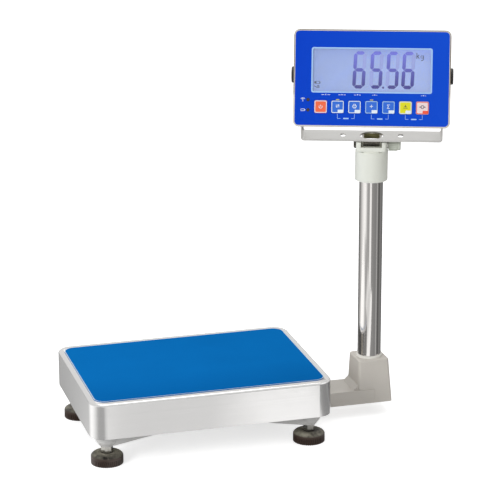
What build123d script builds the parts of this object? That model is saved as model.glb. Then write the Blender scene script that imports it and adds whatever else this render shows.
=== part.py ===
from build123d import *
import os
from math import asin, cos, degrees, radians, sin, sqrt, tan

# Bench platform scale: a stainless weighing pan on a cast frame with four screw feet, and a
# column at the right that carries a tilting indicator.
# All sizes are millimetres.  The origin is on the floor, midway between the four feet.
# X runs along the pan towards the column, Y runs away from the user, Z is up.


# Clearances
SLIDE_FIT = 0.05     # radial play of a shaft or screw that turns or travels in its hole
END_PLAY = 0.2       # room beyond the end of a spindle in its socket
WASHER_PLAY = 0.1    # air between a washer and the part that turns against it
BOLT_PLAY = 0.3      # radial play of a screw in a plain hole
HEAD_PLAY = 0.6      # radial play of a screw head in its recess
KEY_GAP = 0.35       # gap round each key

# Weighing pan
PAN_LENGTH = 399.0
PAN_WIDTH = 289.0
PAN_CORNER = 25.0
PAN_SHEET = 1.5
PAN_EDGE = 4.0
PAN_SKIRT = 59.0
MAT_MARGIN_X = 9.5
MAT_MARGIN_Y = 12.5
MAT_CORNER = 18.0
MAT_THICK = 0.8

# Levelling feet
FOOT_X = 168.5
FOOT_Y = 106.0
PAD_RADIUS = 26.0
PAD_RIM = 10.0
PAD_BAND = 2.0
PAD_CROWN = 18.5
PAD_COLLAR_RADIUS = 10.5
PAD_COLLAR = 2.0
PAD_RIB_COUNT = 48
PAD_RIB_DEPTH = 1.5
PAD_SOLE_DEPTH = 1.0
PAD_SOLE_RING = 5.0
PAD_SHOULDER = 2.0
STUD_RADIUS = 5.0
HEX_FLATS = 17.0
HEX_HEIGHT = 9.0
STUD_ABOVE_HEX = 31.0
STUD_BELOW_HEX = 10.0
STUD_CHAMFER = 1.0

# Base frame casting
BOSS_TIP_RADIUS = 11.5
BOSS_RADIUS = 18.0
BOSS_CONE = 9.0
BOSS_TIP = 2.0
RAIL_WIDTH = 24.0
RAIL_DEPTH = 13.0
RAIL_TOP = 57.0
RAIL_WALL = 4.0
GUSSET_LENGTH = 72.0
BRIDGE_LENGTH = 150.0
BRIDGE_RIB = 5.0
BRIDGE_RIB_COUNT = 3
POCKET_CORNER = 3.0
TONGUE_REACH = 196.0
TONGUE_DEPTH = 11.0

# Load cell and upper frame
SPACER = 3.5
CELL_LENGTH = 130.0
CELL_WIDTH = 30.0
CELL_HEIGHT = 22.0
CELL_PAD_LENGTH = 34.0
CELL_HOLE_RADIUS = 9.0
CELL_HOLE_PITCH = 26.0
CELL_SLOT = 7.2
CELL_PLATE_CORNER = 2.0
CELL_SCREW_RADIUS = 3.0
CELL_SCREW_HEAD_RADIUS = 5.0
CELL_SCREW_HEAD = 6.0
CELL_SCREW_PITCH = 20.0
CELL_SCREW_INSET = 7.0
CELL_SCREW_SHORT = 4.0
UPPER_DEPTH = 17.0
UPPER_ARM_RISE = 3.0
UPPER_POCKET_START = 52.0
UPPER_POCKET_END = 28.0
UPPER_ARM_WIDTH = 30.0
UPPER_HUB_MARGIN = 7.0
UPPER_WALL = 4.5
UPPER_PAD_X = 160.0
UPPER_PAD_Y = 104.0
UPPER_PAD_RADIUS = 17.0
DECK_PAD_RADIUS = 13.0
DECK_PAD_HEIGHT = 7.7
STOP_RADIUS = 4.0
STOP_HEAD_FLATS = 13.0
STOP_HEAD = 5.0
STOP_NUT = 6.0
STOP_GAP = 0.9
STOP_X = 142.0

# Column foot: an arm below the pan with an upright block at its end
COLUMN_X = 307.0
ARM_HALF_WIDTH = 31.0
ARM_DEPTH = 24.0
ARM_START = 108.0
ARM_WALL = 4.5
ARM_BOLT_RADIUS = 4.0
ARM_BOLT_FLATS = 13.0
ARM_BOLT_HEAD = 5.5
ARM_BOLT_RECESS = 2.5
ARM_BOLT_INSET = 18.0
ARM_BOLT_Y = 18.0
ARM_BOLT_SHORT = 1.0
ARM_BOLT_BOSS = 2.0
BLOCK_RISE = 51.0
BLOCK_TOP_HALF = 26.5
BLOCK_FOOT_LEFT = 29.0
BLOCK_FOOT_RIGHT = 32.0
BLOCK_EDGE = 5.0
BLOCK_FLARE = 7.0
SOCKET_STEP = 4.0

# Column
TUBE_LENGTH = 400.5
TUBE_RADIUS = 19.5
TUBE_WALL = 1.5
COLLAR_WALL = 2.3
COLLAR_STAND = 3.5
COLLAR_SEAT = 5.0
COLLAR_CHAMFER = 0.8
GROMMET_WALL = 3.0
GROMMET_LIP = 2.0
GRUB_RADIUS = 4.0
GRUB_INSET = 14.0
GRUB_SOCKET_FLATS = 4.0
GRUB_SOCKET = 3.0

# Pole head
SLEEVE_RADIUS = 26.75
SLEEVE_GRIP = 47.5
SLEEVE_SHOULDER = 3.0
SLEEVE_NECK = 2.5
SLEEVE_EDGE = 1.5
SLEEVE_SCREW_GAP = 0.3
SLEEVE_SCREW_RISE = 18.0
CABLE_RADIUS = 12.0
YOKE_SIZE = 50.0
YOKE_CORNER = 6.0
YOKE_EDGE = 2.0
YOKE_WALL = 2.6
YOKE_TOP_RISE = 8.0
YOKE_SILL_DROP = 0.4
YOKE_FOOT_DROP = 8.0
YOKE_BACK_ANGLE = 30.0
YOKE_GAP = 1.0
PIVOT_RADIUS = 4.0
PIVOT_HEAD_RADIUS = 7.5
PIVOT_HEAD = 4.5
PIVOT_HEAD_ROUND = 3.15
PIVOT_WASHER = 2.5
PIVOT_THREAD_SHORT = 5.0
HEAD_YAW = -20.0

# Tilt knob and side knobs
TILT_KNOB_RADIUS = 11.0
TILT_KNOB_LENGTH = 20.0
SIDE_KNOB_RADIUS = 14.0
SIDE_KNOB_LENGTH = 15.0
KNOB_RIB_COUNT = 20
KNOB_RIB_DEPTH = 0.9
KNOB_RIB_SHARE = 0.72
KNOB_END_WALL = 4.0
KNOB_EDGE = 2.0
KNOB_INSERT_WALL = 2.5
SIDE_STUD_RADIUS = 3.0

# Indicator bracket
BRACKET_TILT = 4.0
BRACKET_SHEET = 2.5
BRACKET_DEPTH = 50.0
BRACKET_RISE = 14.5
BRACKET_BEND = 3.0
BRACKET_HOLE_RADIUS = 19.0
BRACKET_SLOT_WIDTH = 8.0
BRACKET_SLOT_LENGTH = 16.0
BRACKET_SLOT_CORNER = 3.9
BRACKET_SLOT_X = 47.0
ARM_END_RADIUS = 13.0
SIDE_AXIS_Y = -12.6
SIDE_AXIS_Z = 120.0
LUG_OUTER = 16.5
LUG_SHEET = 3.0
LUG_HALF_DEPTH = 19.0
LUG_END_RADIUS = 8.0
LUG_FLANK = 24.0
LUG_END_GAP = 1.5
LUG_BRIDGE_Y = 15.5
LUG_BRIDGE_SHEET = 3.0
LUG_BRIDGE_DROP = 8.0
LUG_WASHER = 0.5
SIDE_WASHER = 1.5

# Indicator
LEAN = 19.0
FACE_DROP = 6.1
FACE_REACH = 28.4
CASE_LENGTH = 251.0
CASE_HEIGHT = 156.0
CASE_CORNER = 9.0
CASE_DEPTH = 11.0
CASE_WALL = 2.5
CASE_EDGE = 2.0
POST_ROOT = 0.5
OVERLAY_MARGIN = 2.5
OVERLAY_THICK = 0.5
GASKET = 0.8
GASKET_INSET = 0.6
REAR_FLANGE = 2.0
FLANGE_INSET = 1.0
REAR_HALF_LENGTH = 111.0
REAR_DEPTH = 46.0
REAR_HEIGHT = 146.0
REAR_BACK_HEIGHT = 118.0
REAR_EDGE = 5.0
REAR_ROUND = 3.0
SIDE_BOSS_RADIUS = 16.0
SIDE_BOSS_STAND = 1.0
INSERT_RADIUS = 4.5
INSERT_LENGTH = 12.0
INSERT_WALL = 3.0

# Display
WINDOW_LENGTH = 192.5
WINDOW_HEIGHT = 72.0
WINDOW_X = -0.4
WINDOW_Y = 13.0
WINDOW_THICK = 2.0
WINDOW_BORDER = 1.5
WINDOW_CORNER = 2.0
PANEL_THICK = 2.8
PANEL_INSET = 4.0
HOLDER_DEPTH = 5.0
HOLDER_FLOOR = 3.0
HOLDER_RIM = 5.0
HOLDER_EAR = 5.0
HOLDER_POST_RISE = 20.0

# Keys and lamps
KEY_COUNT = 7
KEY_PITCH = 27.1
KEY_SIZE = 20.1
KEY_CORNER = 2.5
KEY_Y = -45.8
KEY_PROUD = 0.4
KEY_CHAMFER = 0.25
KEY_SKIRT = 1.2
KEY_SKIRT_THICK = 1.2
KEY_TRAVEL = 0.8
LAMP_X = -101.6
LAMP_YS = (-34.8, -51.2)
LAMP_RADIUS = 2.8
LAMP_GAP = 0.3
SWITCH_RADIUS = 4.0
SWITCH_HEIGHT = 1.6
SWITCH_GAP = 0.1
BOARD_THICK = 1.6
BOARD_CORNER = 2.0
KEY_BOARD_HEIGHT = 28.0
KEY_BOARD_MARGIN = 8.0

# Inside the rear case
POST_RADIUS = 4.0
MAIN_BOARD_LENGTH = 150.0
MAIN_BOARD_HEIGHT = 72.0
MAIN_BOARD_DEPTH = 28.0
MAIN_BOARD_TOP_GAP = 16.0
CONVERTER_CAN = (-38.0, 6.0, 46.0, 30.0, 5.0)      # X, Y, length, height, rise
CONNECTOR_ROW = (30.0, -24.0, 60.0, 9.0, 7.0)
BATTERY_LENGTH = 97.0
BATTERY_HEIGHT = 51.0
BATTERY_THICK = 18.0
BATTERY_CORNER = 2.0
BATTERY_X = -13.5
BATTERY_Y = -22.5
CASE_SCREW_X = 100.0
CASE_SCREW_Y = 64.0
CASE_SCREW_RADIUS = 2.0
CASE_SCREW_HEAD_RADIUS = 3.8
CASE_SCREW_HEAD = 3.0
CASE_SCREW_SEAT = 14.0
SCREW_END_GAP = 1.0
WELL_WALL = 1.8
GLAND_X = 60.0
SOCKET_X = 88.0
PORT_Y = -42.0
GLAND_RADIUS = 6.0
GLAND_LENGTH = 17.0
GLAND_NUT = 5.0
GLAND_FLATS = 15.0
GLAND_BORE = 3.0
GLAND_ROUND = 1.5
GLAND_INSIDE = 4.0
SOCKET_RADIUS = 5.5
SOCKET_BORE = 3.0
SOCKET_DEPTH = 8.0
SOCKET_RIM = 2.0
SOCKET_STAND = 1.5


# Heights that follow from the sizes above
PAD_TOP = PAD_CROWN + PAD_COLLAR
HEX_TOP = PAD_TOP + HEX_HEIGHT
BOSS_BOTTOM = HEX_TOP
RAIL_BOTTOM = RAIL_TOP - RAIL_DEPTH
TONGUE_BOTTOM = RAIL_TOP - TONGUE_DEPTH
ARM_TOP = TONGUE_BOTTOM
ARM_BOTTOM = ARM_TOP - ARM_DEPTH
BLOCK_TOP = ARM_TOP + BLOCK_RISE
CELL_BOTTOM = RAIL_TOP + SPACER
CELL_TOP = CELL_BOTTOM + CELL_HEIGHT
UPPER_BOTTOM = CELL_TOP + SPACER
UPPER_ARM_BOTTOM = UPPER_BOTTOM + UPPER_ARM_RISE
UPPER_TOP = UPPER_BOTTOM + UPPER_DEPTH
PAN_UNDER = UPPER_TOP + DECK_PAD_HEIGHT
PAN_TOP = PAN_UNDER + PAN_SHEET
PAN_BOTTOM = PAN_TOP - PAN_SKIRT
TUBE_BOTTOM = ARM_TOP + SOCKET_STEP
TUBE_TOP = TUBE_BOTTOM + TUBE_LENGTH
SLEEVE_BOTTOM = TUBE_TOP - SLEEVE_GRIP
PIVOT_Z = TUBE_TOP + SLEEVE_SHOULDER + LUG_END_GAP + LUG_END_RADIUS
YOKE_BOTTOM = PIVOT_Z - YOKE_FOOT_DROP
YOKE_TOP = PIVOT_Z + YOKE_TOP_RISE

# Widths and depths that follow
ARM_BOLT_X = (ARM_START + ARM_BOLT_INSET, TONGUE_REACH - ARM_BOLT_INSET)
BRACKET_HALF = REAR_HALF_LENGTH + SIDE_WASHER + BRACKET_SHEET
SLOT_HALF = LUG_OUTER + LUG_WASHER
REAR_FRONT = -(CASE_DEPTH + GASKET)
REAR_BACK = REAR_FRONT - REAR_DEPTH
WINDOW_BACK = -(OVERLAY_THICK + WINDOW_THICK)
CASE_INSIDE = -(OVERLAY_THICK + CASE_WALL)

# Placements of the head, the bracket and the indicator
UP = (Align.CENTER, Align.CENTER, Align.MIN)
HEAD = Location((COLUMN_X, 0, 0), (0, 0, HEAD_YAW))
BRACKET = HEAD * Location((0, 0, PIVOT_Z)) * Location((0, 0, 0), (BRACKET_TILT, 0, 0))
SIDE_AXIS = BRACKET * Location((0, SIDE_AXIS_Y, SIDE_AXIS_Z))
FACE = SIDE_AXIS * Location((0, 0, 0), (90 - LEAN, 0, 0)) * Location((0, -FACE_DROP, FACE_REACH))
FEET = {"front_left": (-1, -1), "front_right": (1, -1), "back_left": (-1, 1), "back_right": (1, 1)}


def write(name, shape):
    """Write one sub-part to its own STEP file."""
    shape.label = name
    export_step(shape, os.path.join("parts", name + ".step"))


def upright(radius, bottom, top, x=0.0, y=0.0):
    """A plain vertical cylinder between two heights."""
    return Pos(x, y, bottom) * Cylinder(radius, top - bottom, align=UP)


def across(radius, left, right, y=0.0, z=0.0):
    """A plain cylinder along X between two places."""
    rod = Cylinder(radius, right - left, align=UP)
    return Pos(left, y, z) * Rot(0, 90, 0) * rod


def slab(length, width, bottom, top, corner=0.0, x=0.0, y=0.0):
    """A flat block with rounded upright corners between two heights."""
    outline = RectangleRounded(length, width, corner) if corner else Rectangle(length, width)
    return Pos(x, y, bottom) * extrude(outline, top - bottom)


def hexagon(flats, bottom, top, x=0.0, y=0.0):
    """A hexagonal prism given by its width across flats."""
    outline = RegularPolygon(flats / 2, 6, major_radius=False)
    return Pos(x, y, bottom) * extrude(outline, top - bottom)


def ribbed_disc(radius, height, count, depth):
    """A disc whose rim carries shallow flutes with raised ribs between them."""
    outline = Circle(radius)
    pitch = 360 / count
    mouth = radius * sin(radians(pitch / 4)) * 1.15
    notch = Polygon((radius - depth, 0), (radius + 1, mouth), (radius + 1, -mouth), align=None)
    flutes = [Rot(0, 0, pitch * k) * notch for k in range(count)]
    return extrude(outline - flutes, height)


# Weighing pan

def make_pan():
    """A deep-drawn tray, open below, with a rounded top edge."""
    outer = slab(PAN_LENGTH, PAN_WIDTH, PAN_BOTTOM, PAN_TOP, PAN_CORNER)
    outer = fillet(outer.faces().sort_by(Axis.Z)[-1].edges(), PAN_EDGE)
    inner = slab(PAN_LENGTH - 2 * PAN_SHEET, PAN_WIDTH - 2 * PAN_SHEET,
                 PAN_BOTTOM - 1, PAN_UNDER, PAN_CORNER - PAN_SHEET)
    inner = fillet(inner.faces().sort_by(Axis.Z)[-1].edges(), PAN_EDGE - PAN_SHEET)
    return outer - inner


def make_pan_mat():
    """The thin blue mat on the pan's top."""
    return slab(PAN_LENGTH - 2 * MAT_MARGIN_X, PAN_WIDTH - 2 * MAT_MARGIN_Y,
                PAN_TOP, PAN_TOP + MAT_THICK, MAT_CORNER)


# Levelling feet

def make_foot_pad(x, y):
    """A round moulded foot: ribs under a plain band, a domed top and a socket for the screw."""
    rim = ribbed_disc(PAD_RADIUS, PAD_RIM, PAD_RIB_COUNT, PAD_RIB_DEPTH)
    core = PAD_RADIUS - PAD_RIB_DEPTH
    band = PAD_RIM + PAD_BAND
    crown = PAD_COLLAR_RADIUS + PAD_SHOULDER
    below = Polyline((crown, PAD_CROWN), (PAD_COLLAR_RADIUS, PAD_CROWN),
                     (PAD_COLLAR_RADIUS, PAD_TOP), (0, PAD_TOP), (0, 0), (core, 0),
                     (core, PAD_RIM), (PAD_RADIUS, PAD_RIM), (PAD_RADIUS, band))
    arch = EllipticalCenterArc((crown, band), PAD_RADIUS - crown, PAD_CROWN - band,
                               start_angle=0, arc_size=90)
    dome = revolve(make_face(below + arch).rotate(Axis.X, 90), Axis.Z)
    sole = upright(PAD_RADIUS - PAD_SOLE_RING, -1, PAD_SOLE_DEPTH)
    socket = upright(STUD_RADIUS + SLIDE_FIT, PAD_TOP - STUD_BELOW_HEX - END_PLAY, PAD_TOP + 1)
    return Pos(x, y, 0) * (rim + dome - sole - socket)


def make_foot_screw(x, y):
    """The threaded spindle with its hexagon, drawn with a plain shank."""
    shank = upright(STUD_RADIUS, PAD_TOP - STUD_BELOW_HEX, HEX_TOP + STUD_ABOVE_HEX)
    shank = chamfer(shank.faces().sort_by(Axis.Z)[-1].edges(), STUD_CHAMFER)
    return Pos(x, y, 0) * (shank + hexagon(HEX_FLATS, PAD_TOP, HEX_TOP))


# Base frame

def make_rail(side):
    """One long side of the frame: a channel whose ends drop to the foot bosses."""
    end = FOOT_X
    inner = end - BOSS_TIP_RADIUS
    outline = make_face(Polyline(
        (-end, RAIL_TOP), (end, RAIL_TOP), (end, BOSS_BOTTOM + BOSS_TIP), (inner, BOSS_BOTTOM + BOSS_TIP),
        (inner - GUSSET_LENGTH, RAIL_BOTTOM), (-inner + GUSSET_LENGTH, RAIL_BOTTOM),
        (-inner, BOSS_BOTTOM + BOSS_TIP), (-end, BOSS_BOTTOM + BOSS_TIP), (-end, RAIL_TOP)))
    bar = extrude(Plane.XZ * outline, RAIL_WIDTH / 2, both=True)
    bar = Pos(0, side * FOOT_Y, 0) * bar
    pocket = slab(2 * (inner - GUSSET_LENGTH / 2), RAIL_WIDTH - 2 * RAIL_WALL,
                  BOSS_BOTTOM, RAIL_TOP - RAIL_WALL, y=side * FOOT_Y)
    return bar - pocket


def make_boss(x, y):
    """A tapered boss that takes one foot screw."""
    cone = Pos(x, y, BOSS_BOTTOM) * Cone(BOSS_TIP_RADIUS, BOSS_RADIUS, BOSS_CONE, align=UP)
    return cone + upright(BOSS_RADIUS, BOSS_BOTTOM + BOSS_CONE, RAIL_TOP, x, y)


def cell_screw_places(end):
    """Centres of the two screws at one end of the load cell (end is -1 or 1)."""
    first = CELL_LENGTH / 2 - CELL_SCREW_INSET
    return [(end * (first - k * CELL_SCREW_PITCH), 0.0) for k in range(2)]


def stop_places():
    """Centres of the four overload stops on the rails."""
    return [(sx * STOP_X, sy * FOOT_Y) for sx, sy in FEET.values()]


def make_base_frame():
    """The lower casting: two rails, a ribbed bridge between them and a tongue for the column."""
    bridge = slab(BRIDGE_LENGTH, 2 * FOOT_Y, RAIL_BOTTOM, RAIL_TOP)
    cell_width = BRIDGE_LENGTH - 2 * RAIL_WALL
    bay = (cell_width - BRIDGE_RIB * BRIDGE_RIB_COUNT) / (BRIDGE_RIB_COUNT + 1)
    for k in range(BRIDGE_RIB_COUNT + 1):
        x = -cell_width / 2 + bay / 2 + k * (bay + BRIDGE_RIB)
        for side in (-1, 1):
            span = FOOT_Y - RAIL_WIDTH / 2 - ARM_HALF_WIDTH - RAIL_WALL
            y = side * (ARM_HALF_WIDTH + RAIL_WALL + span / 2)
            bridge -= slab(bay, span, RAIL_BOTTOM - 1, RAIL_TOP - RAIL_WALL,
                           POCKET_CORNER, x, y)
    tongue = slab(TONGUE_REACH, 2 * ARM_HALF_WIDTH, TONGUE_BOTTOM, RAIL_TOP, x=TONGUE_REACH / 2)
    frame = bridge + tongue
    for side in (-1, 1):
        frame += make_rail(side)
    for sx, sy in FEET.values():
        frame += make_boss(sx * FOOT_X, sy * FOOT_Y)
    for sx, sy in FEET.values():
        frame -= upright(STUD_RADIUS + SLIDE_FIT, BOSS_BOTTOM - 1, RAIL_TOP + 1,
                         sx * FOOT_X, sy * FOOT_Y)
    for x, y in cell_screw_places(-1):
        frame -= upright(CELL_SCREW_RADIUS + BOLT_PLAY, RAIL_BOTTOM - 1, RAIL_TOP + 1, x, y)
        frame -= upright(CELL_SCREW_HEAD_RADIUS + HEAD_PLAY, RAIL_BOTTOM - 1,
                         RAIL_BOTTOM + CELL_SCREW_HEAD, x, y)
    for x in ARM_BOLT_X:
        for side in (-1, 1):
            frame -= upright(ARM_BOLT_RADIUS, RAIL_BOTTOM - 1, RAIL_TOP + 1, x, side * ARM_BOLT_Y)
    for x, y in stop_places():
        frame -= upright(STOP_RADIUS, RAIL_BOTTOM - 1, RAIL_TOP + 1, x, y)
    return frame


# Load cell

def make_load_cell():
    """A single-point beam with the twin bored flexure through its middle."""
    beam = slab(CELL_LENGTH, CELL_WIDTH, CELL_BOTTOM, CELL_TOP)
    middle = (CELL_BOTTOM + CELL_TOP) / 2
    for side in (-1, 1):
        hole = Cylinder(CELL_HOLE_RADIUS, CELL_WIDTH + 2)
        beam -= Pos(side * CELL_HOLE_PITCH / 2, 0, middle) * Rot(90, 0, 0) * hole
    slot = Box(CELL_HOLE_PITCH, CELL_WIDTH + 2, CELL_SLOT)
    beam -= Pos(0, 0, middle) * slot
    for end in (-1, 1):
        for x, y in cell_screw_places(end):
            beam -= upright(CELL_SCREW_RADIUS, CELL_BOTTOM - 1, CELL_TOP + 1, x, y)
    return beam


def make_load_cell_spacers():
    """Two plates that hold the beam's ends clear of the castings."""
    place = (CELL_LENGTH - CELL_PAD_LENGTH) / 2
    plates = []
    for end, bottom in ((-1, RAIL_TOP), (1, CELL_TOP)):
        plate = slab(CELL_PAD_LENGTH, CELL_WIDTH, bottom, bottom + SPACER,
                     CELL_PLATE_CORNER, end * place)
        for x, y in cell_screw_places(end):
            plate -= upright(CELL_SCREW_RADIUS + BOLT_PLAY, bottom - 1, bottom + SPACER + 1, x, y)
        plates.append(plate)
    return Compound(children=plates)


def make_load_cell_screws():
    """Socket head screws: two up through the base, two down through the upper frame."""
    screws = []
    reach = CELL_HEIGHT - CELL_SCREW_SHORT
    for x, y in cell_screw_places(-1):
        head = upright(CELL_SCREW_HEAD_RADIUS, RAIL_BOTTOM, RAIL_BOTTOM + CELL_SCREW_HEAD, x, y)
        screws.append(head + upright(CELL_SCREW_RADIUS, RAIL_BOTTOM, CELL_BOTTOM + reach, x, y))
    seat = UPPER_TOP - CELL_SCREW_HEAD
    for x, y in cell_screw_places(1):
        head = upright(CELL_SCREW_HEAD_RADIUS, seat, UPPER_TOP, x, y)
        screws.append(head + upright(CELL_SCREW_RADIUS, CELL_TOP - reach, seat, x, y))
    return Compound(children=screws)


# Upper frame

def upper_arm(sx, sy):
    """One diagonal arm of the upper frame, a channel open below, from the middle to its pad."""
    reach = sqrt(UPPER_PAD_X ** 2 + UPPER_PAD_Y ** 2)
    angle = degrees(asin(UPPER_PAD_Y / reach))
    turn = angle if sx * sy > 0 else -angle
    arm = slab(reach, UPPER_ARM_WIDTH, UPPER_ARM_BOTTOM, UPPER_TOP, x=sx * reach / 2)
    pocket = reach - UPPER_POCKET_START - UPPER_POCKET_END
    middle = UPPER_POCKET_START + pocket / 2
    arm -= slab(pocket, UPPER_ARM_WIDTH - 2 * UPPER_WALL, UPPER_ARM_BOTTOM - 1,
                UPPER_TOP - UPPER_WALL, POCKET_CORNER, x=sx * middle)
    return Rot(0, 0, turn) * arm


def make_upper_frame():
    """The upper casting: a four-armed spider that carries the pan."""
    frame = slab(CELL_LENGTH, CELL_WIDTH + 2 * UPPER_HUB_MARGIN, UPPER_BOTTOM, UPPER_TOP, 6)
    for sx, sy in FEET.values():
        frame += upper_arm(sx, sy)
        frame += upright(UPPER_PAD_RADIUS, UPPER_ARM_BOTTOM, UPPER_TOP,
                         sx * UPPER_PAD_X, sy * UPPER_PAD_Y)
    for x, y in cell_screw_places(1):
        frame -= upright(CELL_SCREW_RADIUS + BOLT_PLAY, UPPER_BOTTOM - 1, UPPER_TOP + 1, x, y)
        frame -= upright(CELL_SCREW_HEAD_RADIUS + HEAD_PLAY, UPPER_TOP - CELL_SCREW_HEAD,
                         UPPER_TOP + 1, x, y)
    return frame


def make_deck_pads():
    """Four rubber buttons between the upper frame and the pan."""
    pads = [upright(DECK_PAD_RADIUS, UPPER_TOP, PAN_UNDER, sx * UPPER_PAD_X, sy * UPPER_PAD_Y)
            for sx, sy in FEET.values()]
    return Compound(children=pads)


def make_overload_stops():
    """Four hexagon screws whose heads stop just under the upper frame's arms."""
    top = UPPER_ARM_BOTTOM - STOP_GAP
    stops = []
    for x, y in stop_places():
        shank = upright(STOP_RADIUS, RAIL_TOP - RAIL_WALL, top - STOP_HEAD, x, y)
        stops.append(shank + hexagon(STOP_HEAD_FLATS, top - STOP_HEAD, top, x, y))
    return Compound(children=stops)


def make_overload_nuts():
    """Lock nuts of the overload stops, on top of the rails."""
    nuts = []
    for x, y in stop_places():
        nut = hexagon(STOP_HEAD_FLATS, RAIL_TOP, RAIL_TOP + STOP_NUT, x, y)
        nuts.append(nut - upright(STOP_RADIUS, RAIL_TOP - 1, RAIL_TOP + STOP_NUT + 1, x, y))
    return Compound(children=nuts)


# Column foot

def make_column_arm():
    """The casting that reaches out under the pan and stands up as a block round the column."""
    foot_length = BLOCK_FOOT_LEFT + BLOCK_FOOT_RIGHT
    foot_x = COLUMN_X + (BLOCK_FOOT_RIGHT - BLOCK_FOOT_LEFT) / 2
    foot = Pos(foot_x, 0, ARM_BOTTOM) * RectangleRounded(foot_length, 2 * ARM_HALF_WIDTH, BLOCK_EDGE)
    crown = Pos(COLUMN_X, 0, BLOCK_TOP) * RectangleRounded(
        2 * BLOCK_TOP_HALF, 2 * BLOCK_TOP_HALF, BLOCK_EDGE)
    block = loft([foot, crown])
    block = fillet(block.faces().sort_by(Axis.Z)[-1].edges(), BLOCK_EDGE / 2)
    length = COLUMN_X - ARM_START
    arm = slab(length, 2 * ARM_HALF_WIDTH, ARM_BOTTOM, ARM_TOP, x=ARM_START + length / 2)
    flare = make_face(Polyline(
        (COLUMN_X - BLOCK_FOOT_LEFT - BLOCK_FLARE, ARM_TOP),
        (COLUMN_X - BLOCK_FOOT_LEFT + BLOCK_FLARE, ARM_TOP),
        (COLUMN_X - BLOCK_FOOT_LEFT + BLOCK_FLARE, ARM_TOP + 2 * BLOCK_FLARE),
        (COLUMN_X - BLOCK_FOOT_LEFT - BLOCK_FLARE, ARM_TOP)))
    web = extrude(Plane.XZ * flare, BLOCK_TOP_HALF, both=True)
    casting = block + arm + web
    hollow_length = length - ARM_WALL
    hollow = slab(hollow_length + BLOCK_FOOT_RIGHT - ARM_WALL, 2 * (ARM_HALF_WIDTH - ARM_WALL),
                  ARM_BOTTOM - 1, ARM_TOP - ARM_WALL, POCKET_CORNER,
                  x=ARM_START + ARM_WALL + (hollow_length + BLOCK_FOOT_RIGHT - ARM_WALL) / 2)
    casting -= hollow
    for x in ARM_BOLT_X:
        for side in (-1, 1):
            seat = ARM_BOTTOM + ARM_BOLT_RECESS + ARM_BOLT_HEAD
            casting += upright(ARM_BOLT_FLATS / 2 + ARM_BOLT_BOSS, seat, ARM_TOP, x, side * ARM_BOLT_Y)
    for x in ARM_BOLT_X:
        for side in (-1, 1):
            casting -= upright(ARM_BOLT_RADIUS + BOLT_PLAY, ARM_BOTTOM, ARM_TOP + 1,
                               x, side * ARM_BOLT_Y)
    casting -= upright(TUBE_RADIUS + SLIDE_FIT, TUBE_BOTTOM, BLOCK_TOP + 1, COLUMN_X)
    casting -= upright(TUBE_RADIUS - 2 * TUBE_WALL, ARM_BOTTOM, TUBE_BOTTOM + 1, COLUMN_X)
    casting -= upright(TUBE_RADIUS + COLLAR_WALL, BLOCK_TOP - COLLAR_SEAT, BLOCK_TOP + 1, COLUMN_X)
    for z in grub_heights():
        casting -= grub_rod(z, GRUB_RADIUS)
    return casting


def grub_heights():
    """Heights of the two clamp screws behind the column."""
    return (TUBE_BOTTOM + GRUB_INSET, BLOCK_TOP - GRUB_INSET)


def grub_rod(z, radius):
    """A rod from the tube's back face out through the back of the block."""
    rod = Cylinder(radius, ARM_HALF_WIDTH, align=UP)
    return Pos(COLUMN_X, TUBE_RADIUS, z) * Rot(-90, 0, 0) * rod


def grub_screw(length):
    """A socket grub screw along Z, with its socket at the far end."""
    body = Cylinder(GRUB_RADIUS, length, align=UP)
    return body - hexagon(GRUB_SOCKET_FLATS, length - GRUB_SOCKET, length + 1)


def make_tube_clamp_screws():
    """Two socket grub screws that press on the back of the column."""
    length = BLOCK_TOP_HALF - TUBE_RADIUS
    screws = [Pos(COLUMN_X, TUBE_RADIUS, z) * Rot(-90, 0, 0) * grub_screw(length)
              for z in grub_heights()]
    return Compound(children=screws)


def make_column_arm_bolts():
    """Hexagon screws from below that fasten the arm to the frame's tongue."""
    bolts = []
    low = ARM_BOTTOM + ARM_BOLT_RECESS
    for x in ARM_BOLT_X:
        for y in (-ARM_BOLT_Y, ARM_BOLT_Y):
            head = hexagon(ARM_BOLT_FLATS, low, low + ARM_BOLT_HEAD, x, y)
            bolts.append(head + upright(ARM_BOLT_RADIUS, low + ARM_BOLT_HEAD,
                                        RAIL_TOP - ARM_BOLT_SHORT, x, y))
    return Compound(children=bolts)


def make_column_collar():
    """The white ring that closes the socket round the column's foot."""
    ring = upright(TUBE_RADIUS + COLLAR_WALL, BLOCK_TOP - COLLAR_SEAT,
                   BLOCK_TOP + COLLAR_STAND, COLUMN_X)
    ring = chamfer(ring.faces().sort_by(Axis.Z)[-1].edges(), COLLAR_CHAMFER)
    return ring - upright(TUBE_RADIUS, BLOCK_TOP - COLLAR_SEAT - 1,
                          BLOCK_TOP + COLLAR_STAND + 1, COLUMN_X)


def make_column_tube():
    """The polished tube between the foot and the pole head."""
    return (upright(TUBE_RADIUS, TUBE_BOTTOM, TUBE_TOP, COLUMN_X)
            - upright(TUBE_RADIUS - TUBE_WALL, TUBE_BOTTOM - 1, TUBE_TOP + 1, COLUMN_X))


def make_cable_grommet():
    """The bush that lines the cable hole between the socket and the hollow arm."""
    radius = TUBE_RADIUS - 2 * TUBE_WALL
    sleeve = upright(radius, ARM_TOP - ARM_WALL, TUBE_BOTTOM, COLUMN_X)
    lip = upright(radius + GROMMET_WALL, ARM_TOP - ARM_WALL - GROMMET_LIP, ARM_TOP - ARM_WALL,
                  COLUMN_X)
    return sleeve + lip - upright(radius - GROMMET_WALL, ARM_BOTTOM, TUBE_BOTTOM + 1, COLUMN_X)


# Pole head, in its own upright frame

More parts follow.
